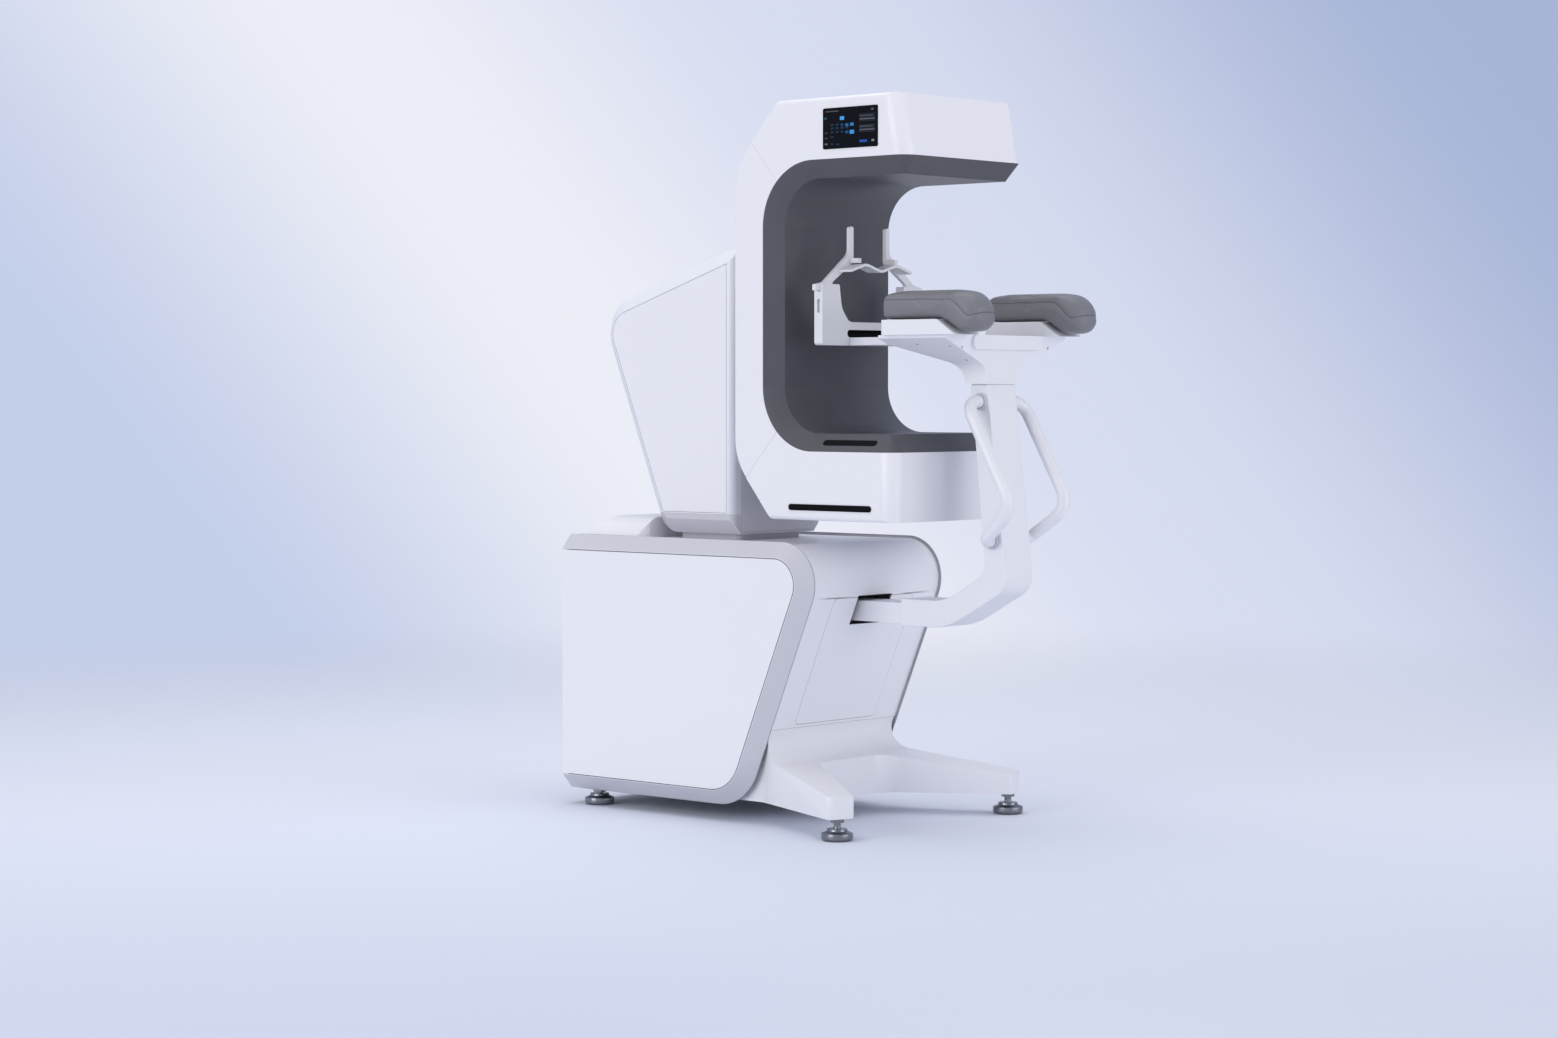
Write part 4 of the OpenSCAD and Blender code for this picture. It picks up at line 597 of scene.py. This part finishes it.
def pillow(middle_x, half_width, rows=25):
    """Point(u, v) = spine(u) + (outline(u) - spine(u)) |cos v|^e, x = middle + half width sign(v) |sin v|^e.
    The exponent e grows towards the nose, where the section turns from a rounded box to a round."""
    foot = nearest_on_spine(pad_side_view)
    v = np.linspace(-math.pi / 2, math.pi / 2, rows)[:, None]
    front = np.clip((nose_y + NOSE_REACH - pad_side_view[:, 0]) / NOSE_REACH, 0, 1)[None, :]
    e = FLAT_POWER + ROUND_POWER * front * front * (3 - 2 * front)
    shrink = np.abs(np.cos(v)) ** e
    x = middle_x + half_width * np.sign(v) * np.abs(np.sin(v)) ** e
    yz = foot[None] + (pad_side_view - foot)[None] * shrink[..., None]
    return np.concatenate([x[..., None], yz], axis=2)


start = pillow(pad_middle, half_w - START_IN)
pad = put_mesh("arm_pad_left", start, grid_faces(*start.shape[:2], wrap_cols=True), pad_vinyl, "base")
print("pad start form:", start.shape)

# %% [markdown]
# ### Stuffing the cover
# The start form is remeshed to even cells of 4 mm, and cloth with inner pressure pushes the skin out.
# Points on the tray are pinned. The movement is capped, so the swollen pad stays in the room its solid
# holds. One smooth subdivision then rounds the cells.

# %% Cloth helpers
CELL, PRESSURE, CLOTH_FRAMES, SWELL_CAP = 0.0042, 4.0, 20, START_IN - 0.0004
PINNED_HEIGHT, PINNED_BEHIND_NOSE = 0.004, 0.10


def settled(piece):
    """The piece's mesh with all its modifiers worked out, in place of the mesh, and the modifiers removed."""
    graph = bpy.context.evaluated_depsgraph_get()
    done = bpy.data.meshes.new_from_object(piece.evaluated_get(graph))
    piece.modifiers.clear()
    piece.data = done
    return piece


def inflate(piece, pressure, frames, cap):
    """Cloth with inner pressure from frame 1 to the last, each point held to a cap from where it started."""
    before = coordinates(piece.data)
    on_tray = (before[:, 2] < rest_z + PINNED_HEIGHT) & (before[:, 1] > nose_y + PINNED_BEHIND_NOSE)
    held = piece.vertex_groups.new(name="on_tray")
    held.add(np.flatnonzero(on_tray).tolist(), 1.0, "REPLACE")
    cloth = piece.modifiers.new("stuffing", "CLOTH")
    cloth.settings.quality = 6
    cloth.settings.mass = 0.3
    cloth.settings.tension_stiffness = 25
    cloth.settings.compression_stiffness = 25
    cloth.settings.use_pressure = True
    cloth.settings.uniform_pressure_force = pressure
    cloth.settings.effector_weights.gravity = 0.0
    cloth.settings.vertex_group_mass = "on_tray"
    cloth.point_cache.frame_start, cloth.point_cache.frame_end = 1, frames
    for number in range(1, frames + 1):
        scene.frame_set(number)
    settled(piece)
    move = coordinates(piece.data) - before
    far = np.linalg.norm(move, axis=1, keepdims=True)
    after = before + move * np.minimum(1.0, cap / np.maximum(far, 1e-9))
    piece.data.vertices.foreach_set("co", after.ravel())
    piece.data.update()
    scene.frame_set(1)
    return float(far.max())


print("cloth cells", CELL * 1000, "mm, largest move", round(SWELL_CAP * 1000, 1), "mm")

# %% Inflate the left pad
cells = pad.modifiers.new("even_cells", "REMESH")
cells.mode, cells.voxel_size, cells.use_smooth_shade = "VOXEL", CELL, True
settled(pad)
pressed = inflate(pad, PRESSURE, CLOTH_FRAMES, SWELL_CAP)
rounder = pad.modifiers.new("round_cells", "SUBSURF")
rounder.levels = rounder.render_levels = 1
settled(pad)
print("pad points:", len(pad.data.vertices), "largest push", round(pressed * 1000, 1), "mm")

# %% [markdown]
# ### The seam
# A seam joins the top panel of the cover to its side band. It runs along the upper edge of each flank,
# dives at the front, and crosses the nose about half way down. The skin is drawn in along it, and the
# stitched line itself is a thin bead that lies in the draw; the bead's dark tone is the thread's own and
# also painted shade of the seam's crease. The path is a plain curve first, then each of its points drops
# to the pad's skin.

# %% Seam path
SEAM_TOP, SEAM_NOSE, SEAM_SAG = 0.0165, 0.0535, 0.005
dive = np.array([[0.10, SEAM_TOP], [0.076, 0.0185], [0.062, 0.026], [0.048, 0.039], [0.036, 0.052],
                 [0.026, 0.0585], [0.010, SEAM_NOSE]])
behind = np.array([[tail_y - 0.012, top_z - 0.019], [tail_y - 0.06, top_z - SEAM_TOP]])
flank = np.vstack([behind, [nose_y, top_z] + dive * [1, -1]])
reach = np.concatenate([[0], np.cumsum(np.linalg.norm(np.diff(flank, axis=0), axis=1))])
at = np.linspace(0, reach[-1], 90)
flank = smoothed(np.stack([np.interp(at, reach, flank[:, k]) for k in range(2)], axis=1), 3)
across = np.linspace(-1, 1, 42)[1:-1]
left = np.column_stack([np.full(len(flank), pad_middle - half_w), flank])
nose_z = top_z - SEAM_NOSE + SEAM_SAG * (1 - across ** 2)
nose = np.column_stack([pad_middle + half_w * across, np.full(len(across), nose_y), nose_z])
right = left[::-1] * [-1, 1, 1] + [2 * pad_middle, 0, 0]
seam, seam_normal = (smoothed(path, 4) for path in onto_skin(pad.data, np.vstack([left, nose, right])))
seam_normal /= np.linalg.norm(seam_normal, axis=1, keepdims=True)
print("seam length", round(float(np.linalg.norm(np.diff(seam, axis=0), axis=1).sum()), 3), "m")

# %% Seam draw
DRAW_DEPTH, DRAW_WIDTH = 0.0012, 0.0045
PUFF_HEIGHT, PUFF_AWAY, PUFF_WIDTH = 0.0004, 0.012, 0.006
skin_points = coordinates(pad.data)
gap = np.sqrt(((skin_points[:, None, :] - seam[None, ::2]) ** 2).sum(axis=2)).min(axis=1)
normals = np.empty(len(skin_points) * 3)
pad.data.vertices.foreach_get("normal", normals)
drawn_in = DRAW_DEPTH * np.exp(-(gap / DRAW_WIDTH) ** 2)
drawn_in -= PUFF_HEIGHT * np.exp(-((gap - PUFF_AWAY) / PUFF_WIDTH) ** 2)
pad.data.vertices.foreach_set("co", (skin_points - normals.reshape(-1, 3) * drawn_in[:, None]).ravel())
pad.data.update()
print("deepest draw", round(float(drawn_in.max()) * 1000, 2), "mm")

# %% Seam bead
THREAD_SUNK = 0.0010
# Partly painted shade: the thread is darker than the vinyl, for its own tone and for the shade of the crease.
thread_and_shade = finish("seam_thread", (0.075, 0.075, 0.085), (0.06, 0.06, 0.07), 0.6, dust=0.0, bump=0.3,
                grain=2600.0)
seam_line = seam - seam_normal * THREAD_SUNK
seam_grid = carried(seam_line, seam_normal, bead(0.0008, 0.0004, 8), closed=False)
seam_grid = pointed(seam_grid, seam_line)
seam_left = put_mesh("pad_seam_left", seam_grid, grid_faces(*seam_grid.shape[:2], wrap_cols=True), thread_and_shade,
                     "base")
print("seam bead points:", len(seam_left.data.vertices))


# %% The right pad
def mirrored(piece, name):
    """A copy of a piece on the other side of the middle plane: x changes sign, and the faces are turned so
    that they point outwards again."""
    mesh = piece.data.copy()
    mesh.name = name
    mesh.vertices.foreach_set("co", (coordinates(mesh) * [-1, 1, 1]).ravel())
    mesh.flip_normals()
    mesh.update()
    return put_piece(name, mesh, "base")


pad.data.materials.clear()
pad.data.materials.append(pad_vinyl)
shade_faces(pad.data)
pad_right = mirrored(pad, "arm_pad_right")
mirrored(seam_left, "pad_seam_right")
for piece, node in ((pad, "pad_left"), (pad_right, "pad_right")):
    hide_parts(node)
print("pads and seams in place")

# %% [markdown]
# ## The touch screen
# A dark panel of glass with a lit page of plain tiles: a grid of small squares, a few blue ones, two wide
# fields and a bar. The page is one mesh of thin chips set just into the glass. Each face keeps its own
# colour in an attribute, which drives the emission, so no picture is needed.

# %% Screen tiles
BLUE, DIM, GREY = np.array([0.03, 0.26, 0.75]), (0.012, 0.035, 0.085), (0.050, 0.055, 0.065)
COLUMNS, ROWS = (0.173, 0.264, 0.355, 0.445), (0.415, 0.500, 0.595)
LIT = ((0.355, 0.265, 0.074, 1.15), (0.536, 0.430, 0.062, 0.65), (0.445, 0.440, 0.056, 0.42),
       (0.536, 0.615, 0.078, 0.95), (0.445, 0.612, 0.052, 0.25), (0.355, 0.425, 0.050, 0.16))
tiles = [(u, v, 0.050, 0.045, DIM) for v in ROWS for u in COLUMNS]
tiles += [(u, v, 0.045, 0.040, DIM) for u, v in ((0.173, 0.710), (0.173, 0.885), (0.280, 0.900))]
for u, v, size, glow in LIT:
    tiles.append((u, v, size, size * 1.2, tuple(BLUE * glow + [0.02 * glow, 0.05 * glow, 0.02])))
tiles += [(0.050, 0.250, 0.050, 0.045, (0.02, 0.08, 0.13)), (0.064, 0.610, 0.040, 0.035, GREY),
          (0.064, 0.735, 0.045, 0.035, GREY), (0.064, 0.880, 0.050, 0.040, (0.12, 0.125, 0.14))]
for v in (0.285, 0.545):
    tiles += [(0.815, v, 0.29, 0.20, (0.012, 0.014, 0.019)),
              (0.800, v - 0.045, 0.24, 0.028, (0.055, 0.070, 0.10)),
              (0.815, v + 0.035, 0.27, 0.032, (0.085, 0.100, 0.135))]
tiles += [(0.745, 0.855, 0.135, 0.060, (0.012, 0.085, 0.36)),
          (0.918, 0.850, 0.042, 0.050, (0.22, 0.24, 0.28)),
          (0.173, 0.086, 0.230, 0.026, (0.075, 0.080, 0.095)),
          (0.909, 0.095, 0.045, 0.045, (0.09, 0.095, 0.11))]
print("screen tiles:", len(tiles))

# %% Screen page
PROUD, LAYER, SUNK = 0.0002, 0.00002, 0.0001
CHIP = np.array([[0, 1, 2, 3], [7, 6, 5, 4], [0, 4, 5, 1], [1, 5, 6, 2], [2, 6, 7, 3], [3, 7, 4, 0]])
glass_low, glass_high = (np.array(v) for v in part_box("touch_screen"))


def tile_chips(table):
    """Eight corners of each tile as a thin chip: its middle (u, v) as shares of the glass, plus and minus
    half its width and height, once on its own level in front of the glass and once just inside it."""
    size = glass_high - glass_low
    corner = np.array([[-1, 1], [1, 1], [1, -1], [-1, -1]]) / 2
    uv = table[:, None, :2] + corner[None] * table[:, None, 2:]
    y, z = glass_low[1] + size[1] * (1 - uv[..., 0]), glass_high[2] - size[2] * uv[..., 1]
    level = np.broadcast_to(glass_low[0] - PROUD - LAYER * np.arange(len(table))[:, None], y.shape)
    inside = np.full(y.shape, glass_low[0] + SUNK)
    return np.concatenate([np.stack([level, y, z], axis=2), np.stack([inside, y, z], axis=2)], axis=1)


page_glow = finish("screen_page_glow", (0.005, 0.005, 0.007), (0.008, 0.008, 0.01), 0.2, dust=0.0, bump=0.0,
                   specular_ior_level=0.06, emission_strength=1.0)
chips = (CHIP[None] + 8 * np.arange(len(tiles))[:, None, None]).reshape(-1, 4)
page = put_mesh("screen_page", tile_chips(np.array([t[:4] for t in tiles])), chips, page_glow, "gantry")
shade_faces(page.data, False)
print("page faces:", len(page.data.polygons))

# %% Screen light
tree = page_glow.node_tree
colours = add_node(tree, "ShaderNodeAttribute", attribute_name="tile_colour")
wire(tree, (colours.outputs["Color"], tree.nodes["Principled BSDF"].inputs["Emission Color"]))
paint = page.data.color_attributes.new("tile_colour", "FLOAT_COLOR", "CORNER")
tint = np.array([(*t[4], 1.0) for t in tiles])
paint.data.foreach_set("color", np.repeat(tint, CHIP.size, axis=0).ravel())
print("page corners painted:", len(paint.data))

# %% [markdown]
# ## Fine trim
# A bright bead frames the strip on the lower arm, hair-thin dark lines paint the shadow in the fine gaps
# where the side panels meet their rims, and a grey bead paints the shadow in the joint between the
# cabinet's covers. Each is a small section carried along an outline.

# %% Strip frame
FRAME_OUT, FRAME_STEP, NEARLY_ROUND = 0.0026, 0.0015, 0.999
strip_low, strip_high = (np.array(v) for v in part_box("arm_strip"))
arm_face_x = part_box("lower_arm_cover")[0][0]
(y0, z0), (y1, z1) = strip_low[1:] - FRAME_OUT, strip_high[1:] + FRAME_OUT
r = (z1 - z0) / 2 * NEARLY_ROUND
loop = spaced(rounded_outline([(y0, z0, r), (y1, z0, r), (y1, z1, r), (y0, z1, r)]), FRAME_STEP)
path = np.column_stack([np.full(len(loop), arm_face_x), loop])
frame_grid = carried(path, [-1, 0, 0], bead(0.0013, 0.0009))
put_mesh("arm_strip_frame", frame_grid, grid_faces(*frame_grid.shape[:2], True, True),
         finishes["grip_white"], "gantry")
print("strip frame points:", frame_grid.shape[0] * frame_grid.shape[1])

# %% [markdown]
# ### Panel gap lines and painted joint shade
# Each side of the tilted housing and of the cabinet is a flat panel in a sloping rim. The outermost flat
# face of the CAD solid gives the panel's outline: it bulges everywhere, so it is the convex hull of that
# face's points. A hair-thin dark bead follows it a little inside the edge, as painted shadow of the fine gap
# between panel and rim. Where the cabinet's side cover meets the front cover, a thin grey bead along the rim
# is painted shadow of the joint.

# %% Edge line helpers
FLAT_REACH, LINE_STEP = 0.00006, 0.005


def flat_outline(node, x, step):
    """The convex outline of a node's points at one distance x from the middle plane, evenly spaced."""
    points = coordinates(nodes[node].data)
    flat = points[np.abs(points[:, 0] - x) < FLAT_REACH][:, 1:]
    return spaced(flat[convex_hull_2d(flat.tolist())], step)


def inset(loop, depth):
    """A closed outline moved inwards: each point goes along its tangent turned a quarter to the middle."""
    tangent = np.roll(loop, -1, axis=0) - np.roll(loop, 1, axis=0)
    normal = np.stack([-tangent[:, 1], tangent[:, 0]], axis=1)
    normal /= np.linalg.norm(normal, axis=1, keepdims=True)
    normal *= np.sign(np.sum(normal * (loop.mean(axis=0) - loop), axis=1, keepdims=True))
    return loop + normal * depth


def edge_line(name, node, x, depth, lift, section, material, back=math.inf):
    """A bead along a node's outline at x, moved inwards by a depth and outwards in x by a lift. Points behind
    a given y are left out, and the loop is then turned so that it starts and ends there."""
    loop = inset(flat_outline(node, x, LINE_STEP), depth)
    kept = loop[:, 0] < back
    closed = bool(kept.all())
    start = 0 if closed else int(np.argmax(kept & ~np.roll(kept, 1)))
    loop = np.roll(loop, -start, axis=0)[:int(kept.sum())]
    side = math.copysign(1, x)
    path = np.column_stack([np.full(len(loop), x + side * lift), loop])
    grid = carried(path, [side, 0, 0], section, closed)
    grid = grid if closed else pointed(grid, path)
    return put_mesh(name, grid, grid_faces(*grid.shape[:2], closed, True), material, "base")


print("edge line helpers ready")

# %% Panel lines and painted joint shade
COVER_JOINT_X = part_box("side_cover_right")[0][0]
LINE_END_Y, JOINT_SHADE_END_Y = 0.605, 0.60
# Painted shadow: these dark beads stand for the shade inside the panel gaps and inside the joint between the
# covers.
gap_shade_grey = finish("panel_gap_shade", (0.14, 0.14, 0.16), (0.11, 0.11, 0.13), 0.6, dust=0.0, bump=0.05)
joint_shade_bead = finish("joint_shade_bead", (0.36, 0.36, 0.40), (0.30, 0.30, 0.34), 0.6, dust=0.1, bump=0.15,
                     grain=2400.0)
for name, side in (("left", -1), ("right", 1)):
    edge_line("housing_line_" + name, "housing_side_" + name, side * HOUSING_PANEL_X, depth=0.0032, lift=0.0,
              section=bead(0.0005, 0.0002, 6), material=gap_shade_grey)
    edge_line("cabinet_line_" + name, "side_cover_" + name, side * CABINET_PANEL_X, depth=0.0022, lift=0.0,
              section=bead(0.0009, 0.0002, 6), material=gap_shade_grey, back=LINE_END_Y)
    edge_line("cover_joint_shade_" + name, "side_cover_" + name, side * COVER_JOINT_X, depth=0.0006, lift=-0.0013,
              section=bead(0.0013, 0.0012), material=joint_shade_bead, back=JOINT_SHADE_END_Y)
print("panel lines and joint shade in place")

# %% [markdown]
# ### The holder's slot
# The head holder has a long slot across its foot. A shallow black cup inside it paints the shade of its
# depth: the same stadium outline behind the floor, at the rim, a hair further in, and again on the floor.
# Both floors close on the slot's own middle line.

# %% Slot shade cup
SLOT_HALF, SLOT_H, SLOT_DEEP, SLOT_RISE = 0.087, 0.017, 0.016, 0.0004
SHADE_CUP_ROWS = [(SLOT_H / 2, SLOT_DEEP - 0.0001), (0.0002, SLOT_DEEP - 0.0001), (0.0002, 0.0003), (0.0009, 0.0003),
          (0.0010, 0.0006), (0.0010, SLOT_DEEP - 0.0008), (0.0013, SLOT_DEEP - 0.0004),
          (SLOT_H / 2, SLOT_DEEP - 0.0004)]
yoke_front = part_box("head_yoke")[0][1]
slot_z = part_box("holder_plate")[1][2] + SLOT_RISE + SLOT_H / 2


def stadium_rows(table, steps=24):
    """One stadium for each (shrink, depth): two half circles of radius r = half height - shrink, whose
    centres stand half the length minus the shrink and r from the middle, at that depth behind the yoke's
    front."""
    shrink, deep = np.array(table).T[:, :, None]
    a = np.linspace(-math.pi / 2, math.pi / 2, steps)[None]
    r = SLOT_H / 2 - shrink
    x, z = SLOT_HALF - shrink - r + r * np.cos(a), r * np.sin(a)
    x, z = np.hstack([x, -x]), np.hstack([z, -z])
    return np.stack([x, np.broadcast_to(yoke_front + deep, x.shape), slot_z + z], axis=2)


# Painted shade: the black cup darkens the narrow slot, where its depth lies in shadow.
shade_cup = stadium_rows(SHADE_CUP_ROWS)
put_mesh("holder_slot_shade_cup", shade_cup, grid_faces(*shade_cup.shape[:2], False, True), finishes["strip_black"],
         "base")
print("slot lining points:", shade_cup.shape[0] * shade_cup.shape[1])

# %% [markdown]
# ### Screws of the bracket
# Button-head screws hold the armrest bracket together. One head is a grid of rings: the floor and wall of
# its hexagon socket, then the crown, the rim and the underside. A hexagon's radius at an angle is its
# apothem over the cosine of the angle from the middle of the nearest flat. Each head stands on the
# nearest point of the bracket, along the surface there.

# %% Screw heads
SCREW_R, SCREW_H, SOCKET_IN, SOCKET_FLOOR, SCREW_FOOT = 0.0031, 0.0013, 0.0012, 0.0004, -0.0004
CROWN = [(0.62, 1.0), (0.88, 0.72), (1.0, 0.25)]


def screw_heads(places, normals, sides=36):
    """All heads as one array (head, ring, angle, xyz), each in the frame of its own normal."""
    a = np.linspace(0, 2 * math.pi, sides, endpoint=False)
    socket = SOCKET_IN / np.cos((a % (math.pi / 3)) - math.pi / 6)
    whole = np.ones(sides)
    rings = [(0 * whole, SOCKET_FLOOR), (socket, SOCKET_FLOOR), (socket * 1.02, SCREW_H)]
    rings += [(share * SCREW_R * whole, rise * SCREW_H) for share, rise in CROWN]
    rings += [(SCREW_R * whole, SCREW_FOOT), (0 * whole, SCREW_FOOT)]
    across = np.where(np.abs(normals[:, :1]) > 0.7, [[0.0, 1.0, 0.0]], [[1.0, 0.0, 0.0]])
    t = np.cross(normals, across)
    t /= np.linalg.norm(t, axis=1, keepdims=True)
    b = np.cross(normals, t)
    r = np.array([ring[0] for ring in rings])[None, :, :, None]
    h = np.array([ring[1] for ring in rings])[None, :, None, None]
    turn = r * (np.cos(a)[:, None] * t[:, None, None] + np.sin(a)[:, None] * b[:, None, None])
    return places[:, None, None] + turn + h * normals[:, None, None]


print("screw head", SCREW_R * 2000, "mm across")

# %% Bracket screws
LEFT_SCREWS = np.array([[-0.1839, -0.414, 1.0844], [-0.1715, -0.496, 1.0794], [-0.0981, -0.4849, 1.0498],
                        [-0.1537, -0.515, 1.0773]])
spot, out = onto_skin(nodes["support_bracket"].data, np.vstack([LEFT_SCREWS, LEFT_SCREWS * [-1, 1, 1]]))
heads = screw_heads(spot, out)
count, rings, sides = heads.shape[:3]
quads = grid_faces(rings, sides, wrap_cols=True)[None] + (np.arange(count) * rings * sides)[:, None, None]
screw_metal = metal("screw_steel", (0.50, 0.50, 0.53), 0.32, 0.15)
put_mesh("bracket_screws", heads, quads.reshape(-1, 4), screw_metal, "base")
print("screws:", count)

# %% [markdown]
# ## Studio
# A wide pale floor takes the shadow, and soft boxes above, to the left and in front give the flat light
# of a product photograph. The backdrop colour is seen only by the camera, by mirrors and through glass;
# what lights the machine is a plain grey sky at a plain level.

# %% Lights
# Each soft box: its place, the height that it looks at on the machine's axis, its side, its power and colour.
SOFT_BOXES = {"key_box": ((-8.6, 1.2, 2.4), 0.8, 5.0, 255, (1.0, 0.99, 0.98)),
              "front_box": ((1.6, -9.2, 1.4), 0.7, 7.5, 320, (0.99, 0.99, 1.0)),
              "top_box": ((0.2, 0.8, 6.0), 0.5, 5.0, 140, (1.0, 1.0, 1.0))}
for name, (spot, look_z, size, watts, colour) in SOFT_BOXES.items():
    lamp = bpy.data.lights.new(name, "AREA")
    lamp.shape, lamp.size, lamp.energy, lamp.color = "SQUARE", size, watts, colour
    holder = bpy.data.objects.new(name, lamp)
    holder.location = spot
    holder.rotation_euler = (Vector((0, 0, look_z)) - Vector(spot)).to_track_quat("-Z", "Y").to_euler()
    scene.collection.objects.link(holder)

# %% Backdrop
SKY_COLOUR, SKY_LEVEL = (0.93, 0.945, 1.0, 1.0), 0.63
RAMP_AXIS, RAMP_FROM, RAMP_TO = (0.5497, -0.5818, 0.5995), -0.152, 0.259
RAMP_START, RAMP_END = (0.55, 0.62, 0.82, 1.0), (0.39, 0.46, 0.68, 1.0)
RAMP_BETWEEN = {0.33: (0.84, 0.855, 0.93, 1.0), 0.60: (0.68, 0.72, 0.875, 1.0)}
world = bpy.data.worlds.new("studio_backdrop")
scene.world = world
world.use_nodes = True
tree = world.node_tree
light = tree.nodes["Background"]
light.inputs["Color"].default_value = SKY_COLOUR
light.inputs["Strength"].default_value = SKY_LEVEL
seen = add_node(tree, "ShaderNodeBackground", {"Strength": 1.0})
where = add_node(tree, "ShaderNodeTexCoord")
lean = add_node(tree, "ShaderNodeVectorMath", {1: RAMP_AXIS}, operation="DOT_PRODUCT")
fall = add_node(tree, "ShaderNodeMapRange", {"From Min": RAMP_FROM, "From Max": RAMP_TO})
ramp = add_node(tree, "ShaderNodeValToRGB")
ramp.color_ramp.interpolation = "EASE"
stops = ramp.color_ramp.elements
stops[0].color, stops[1].color = RAMP_START, RAMP_END
for at, colour in RAMP_BETWEEN.items():
    stops.new(at).color = colour
rays = add_node(tree, "ShaderNodeLightPath").outputs
either = math_node(tree, "MAXIMUM", rays["Is Camera Ray"], rays["Is Glossy Ray"])
either = math_node(tree, "MAXIMUM", either, rays["Is Transmission Ray"])
choose = add_node(tree, "ShaderNodeMixShader")
wire(tree, (where.outputs["Generated"], lean.inputs[0]), (lean.outputs["Value"], fall.inputs["Value"]),
     (fall.outputs[0], ramp.inputs["Fac"]), (ramp.outputs["Color"], seen.inputs["Color"]),
     (either, choose.inputs["Fac"]), (light.outputs[0], choose.inputs[1]),
     (seen.outputs[0], choose.inputs[2]), (choose.outputs[0], tree.nodes["World Output"].inputs["Surface"]))
print("backdrop ready")

# %% Floor
FLOOR_RINGS = np.concatenate([np.linspace(0, 4, 9), np.linspace(5, 40, 12)])
FLOOR_Z, FLOOR_SIDES = -0.0005, 64
FLOOR_PALE, FLOOR_SHADE = (0.73, 0.765, 0.875), (0.70, 0.735, 0.845)
r, a = np.meshgrid(FLOOR_RINGS, np.linspace(0, 2 * math.pi, FLOOR_SIDES, endpoint=False), indexing="ij")
floor_points = np.stack([r * np.cos(a), r * np.sin(a), np.full_like(r, FLOOR_Z)], axis=2)
floor_mesh = bpy.data.meshes.new("studio_floor")
floor_quads = grid_faces(*r.shape, wrap_cols=True)
floor_mesh.from_pydata(floor_points.reshape(-1, 3).tolist(), [], floor_quads.tolist())
floor = bpy.data.objects.new("studio_floor", floor_mesh)
scene.collection.objects.link(floor)
ground = finish("floor_pale", FLOOR_PALE, FLOOR_SHADE, 0.8, drift=0.3, drift_scale=0.4, dust=0.0, bump=0.0)
floor_mesh.materials.append(ground)
print("floor points:", len(floor_mesh.vertices))

# %% [markdown]
# ### Floor tone and edge
# Along the camera's aim the floor's colour goes from a darker, cooler tone in front to a paler one under the
# machine: painted shade in front and painted light under the machine.
# Further out it fades to clear, so that it runs into the backdrop without a line.

# %% Floor tone and edge
# Painted light and shade: the floor colour is darker in front and paler under the machine.
FLOOR_FRONT_DIM, DIM_FROM, DIM_TO = (0.63, 0.675, 0.81, 1.0), -2.4, 0.2
FADE_FROM, FADE_TO = 1.4, 6.5
tree = ground.node_tree
principled = tree.nodes["Principled BSDF"]
tones = principled.inputs["Base Color"].links[0].from_node
where = add_node(tree, "ShaderNodeTexCoord").outputs["Object"]
along = add_node(tree, "ShaderNodeVectorMath", {1: (aim.x, aim.y, 0.0)}, operation="DOT_PRODUCT")
front = add_node(tree, "ShaderNodeMapRange", {"From Min": DIM_FROM, "From Max": DIM_TO},
                 interpolation_type="SMOOTHSTEP")
floor_dim_mix = add_node(tree, "ShaderNodeMix", data_type="RGBA")
floor_dim_mix.inputs["A"].default_value, floor_dim_mix.inputs["B"].default_value = FLOOR_FRONT_DIM, (*FLOOR_PALE, 1.0)
far = add_node(tree, "ShaderNodeVectorMath", operation="LENGTH")
fade = add_node(tree, "ShaderNodeMapRange", {"From Min": FADE_FROM, "From Max": FADE_TO},
                interpolation_type="SMOOTHSTEP")
clear = add_node(tree, "ShaderNodeBsdfTransparent")
blend = add_node(tree, "ShaderNodeMixShader")
wire(tree, (where, along.inputs[0]), (along.outputs["Value"], front.inputs["Value"]),
     (front.outputs[0], floor_dim_mix.inputs["Factor"]), (floor_dim_mix.outputs["Result"], tones.inputs["Color"]),
     (where, far.inputs[0]), (far.outputs["Value"], fade.inputs["Value"]),
     (fade.outputs[0], blend.inputs["Fac"]), (principled.outputs[0], blend.inputs[1]),
     (clear.outputs[0], blend.inputs[2]),
     (blend.outputs[0], tree.nodes["Material Output"].inputs["Surface"]))
print("floor tone from", DIM_FROM, "to", DIM_TO, "m along the aim")
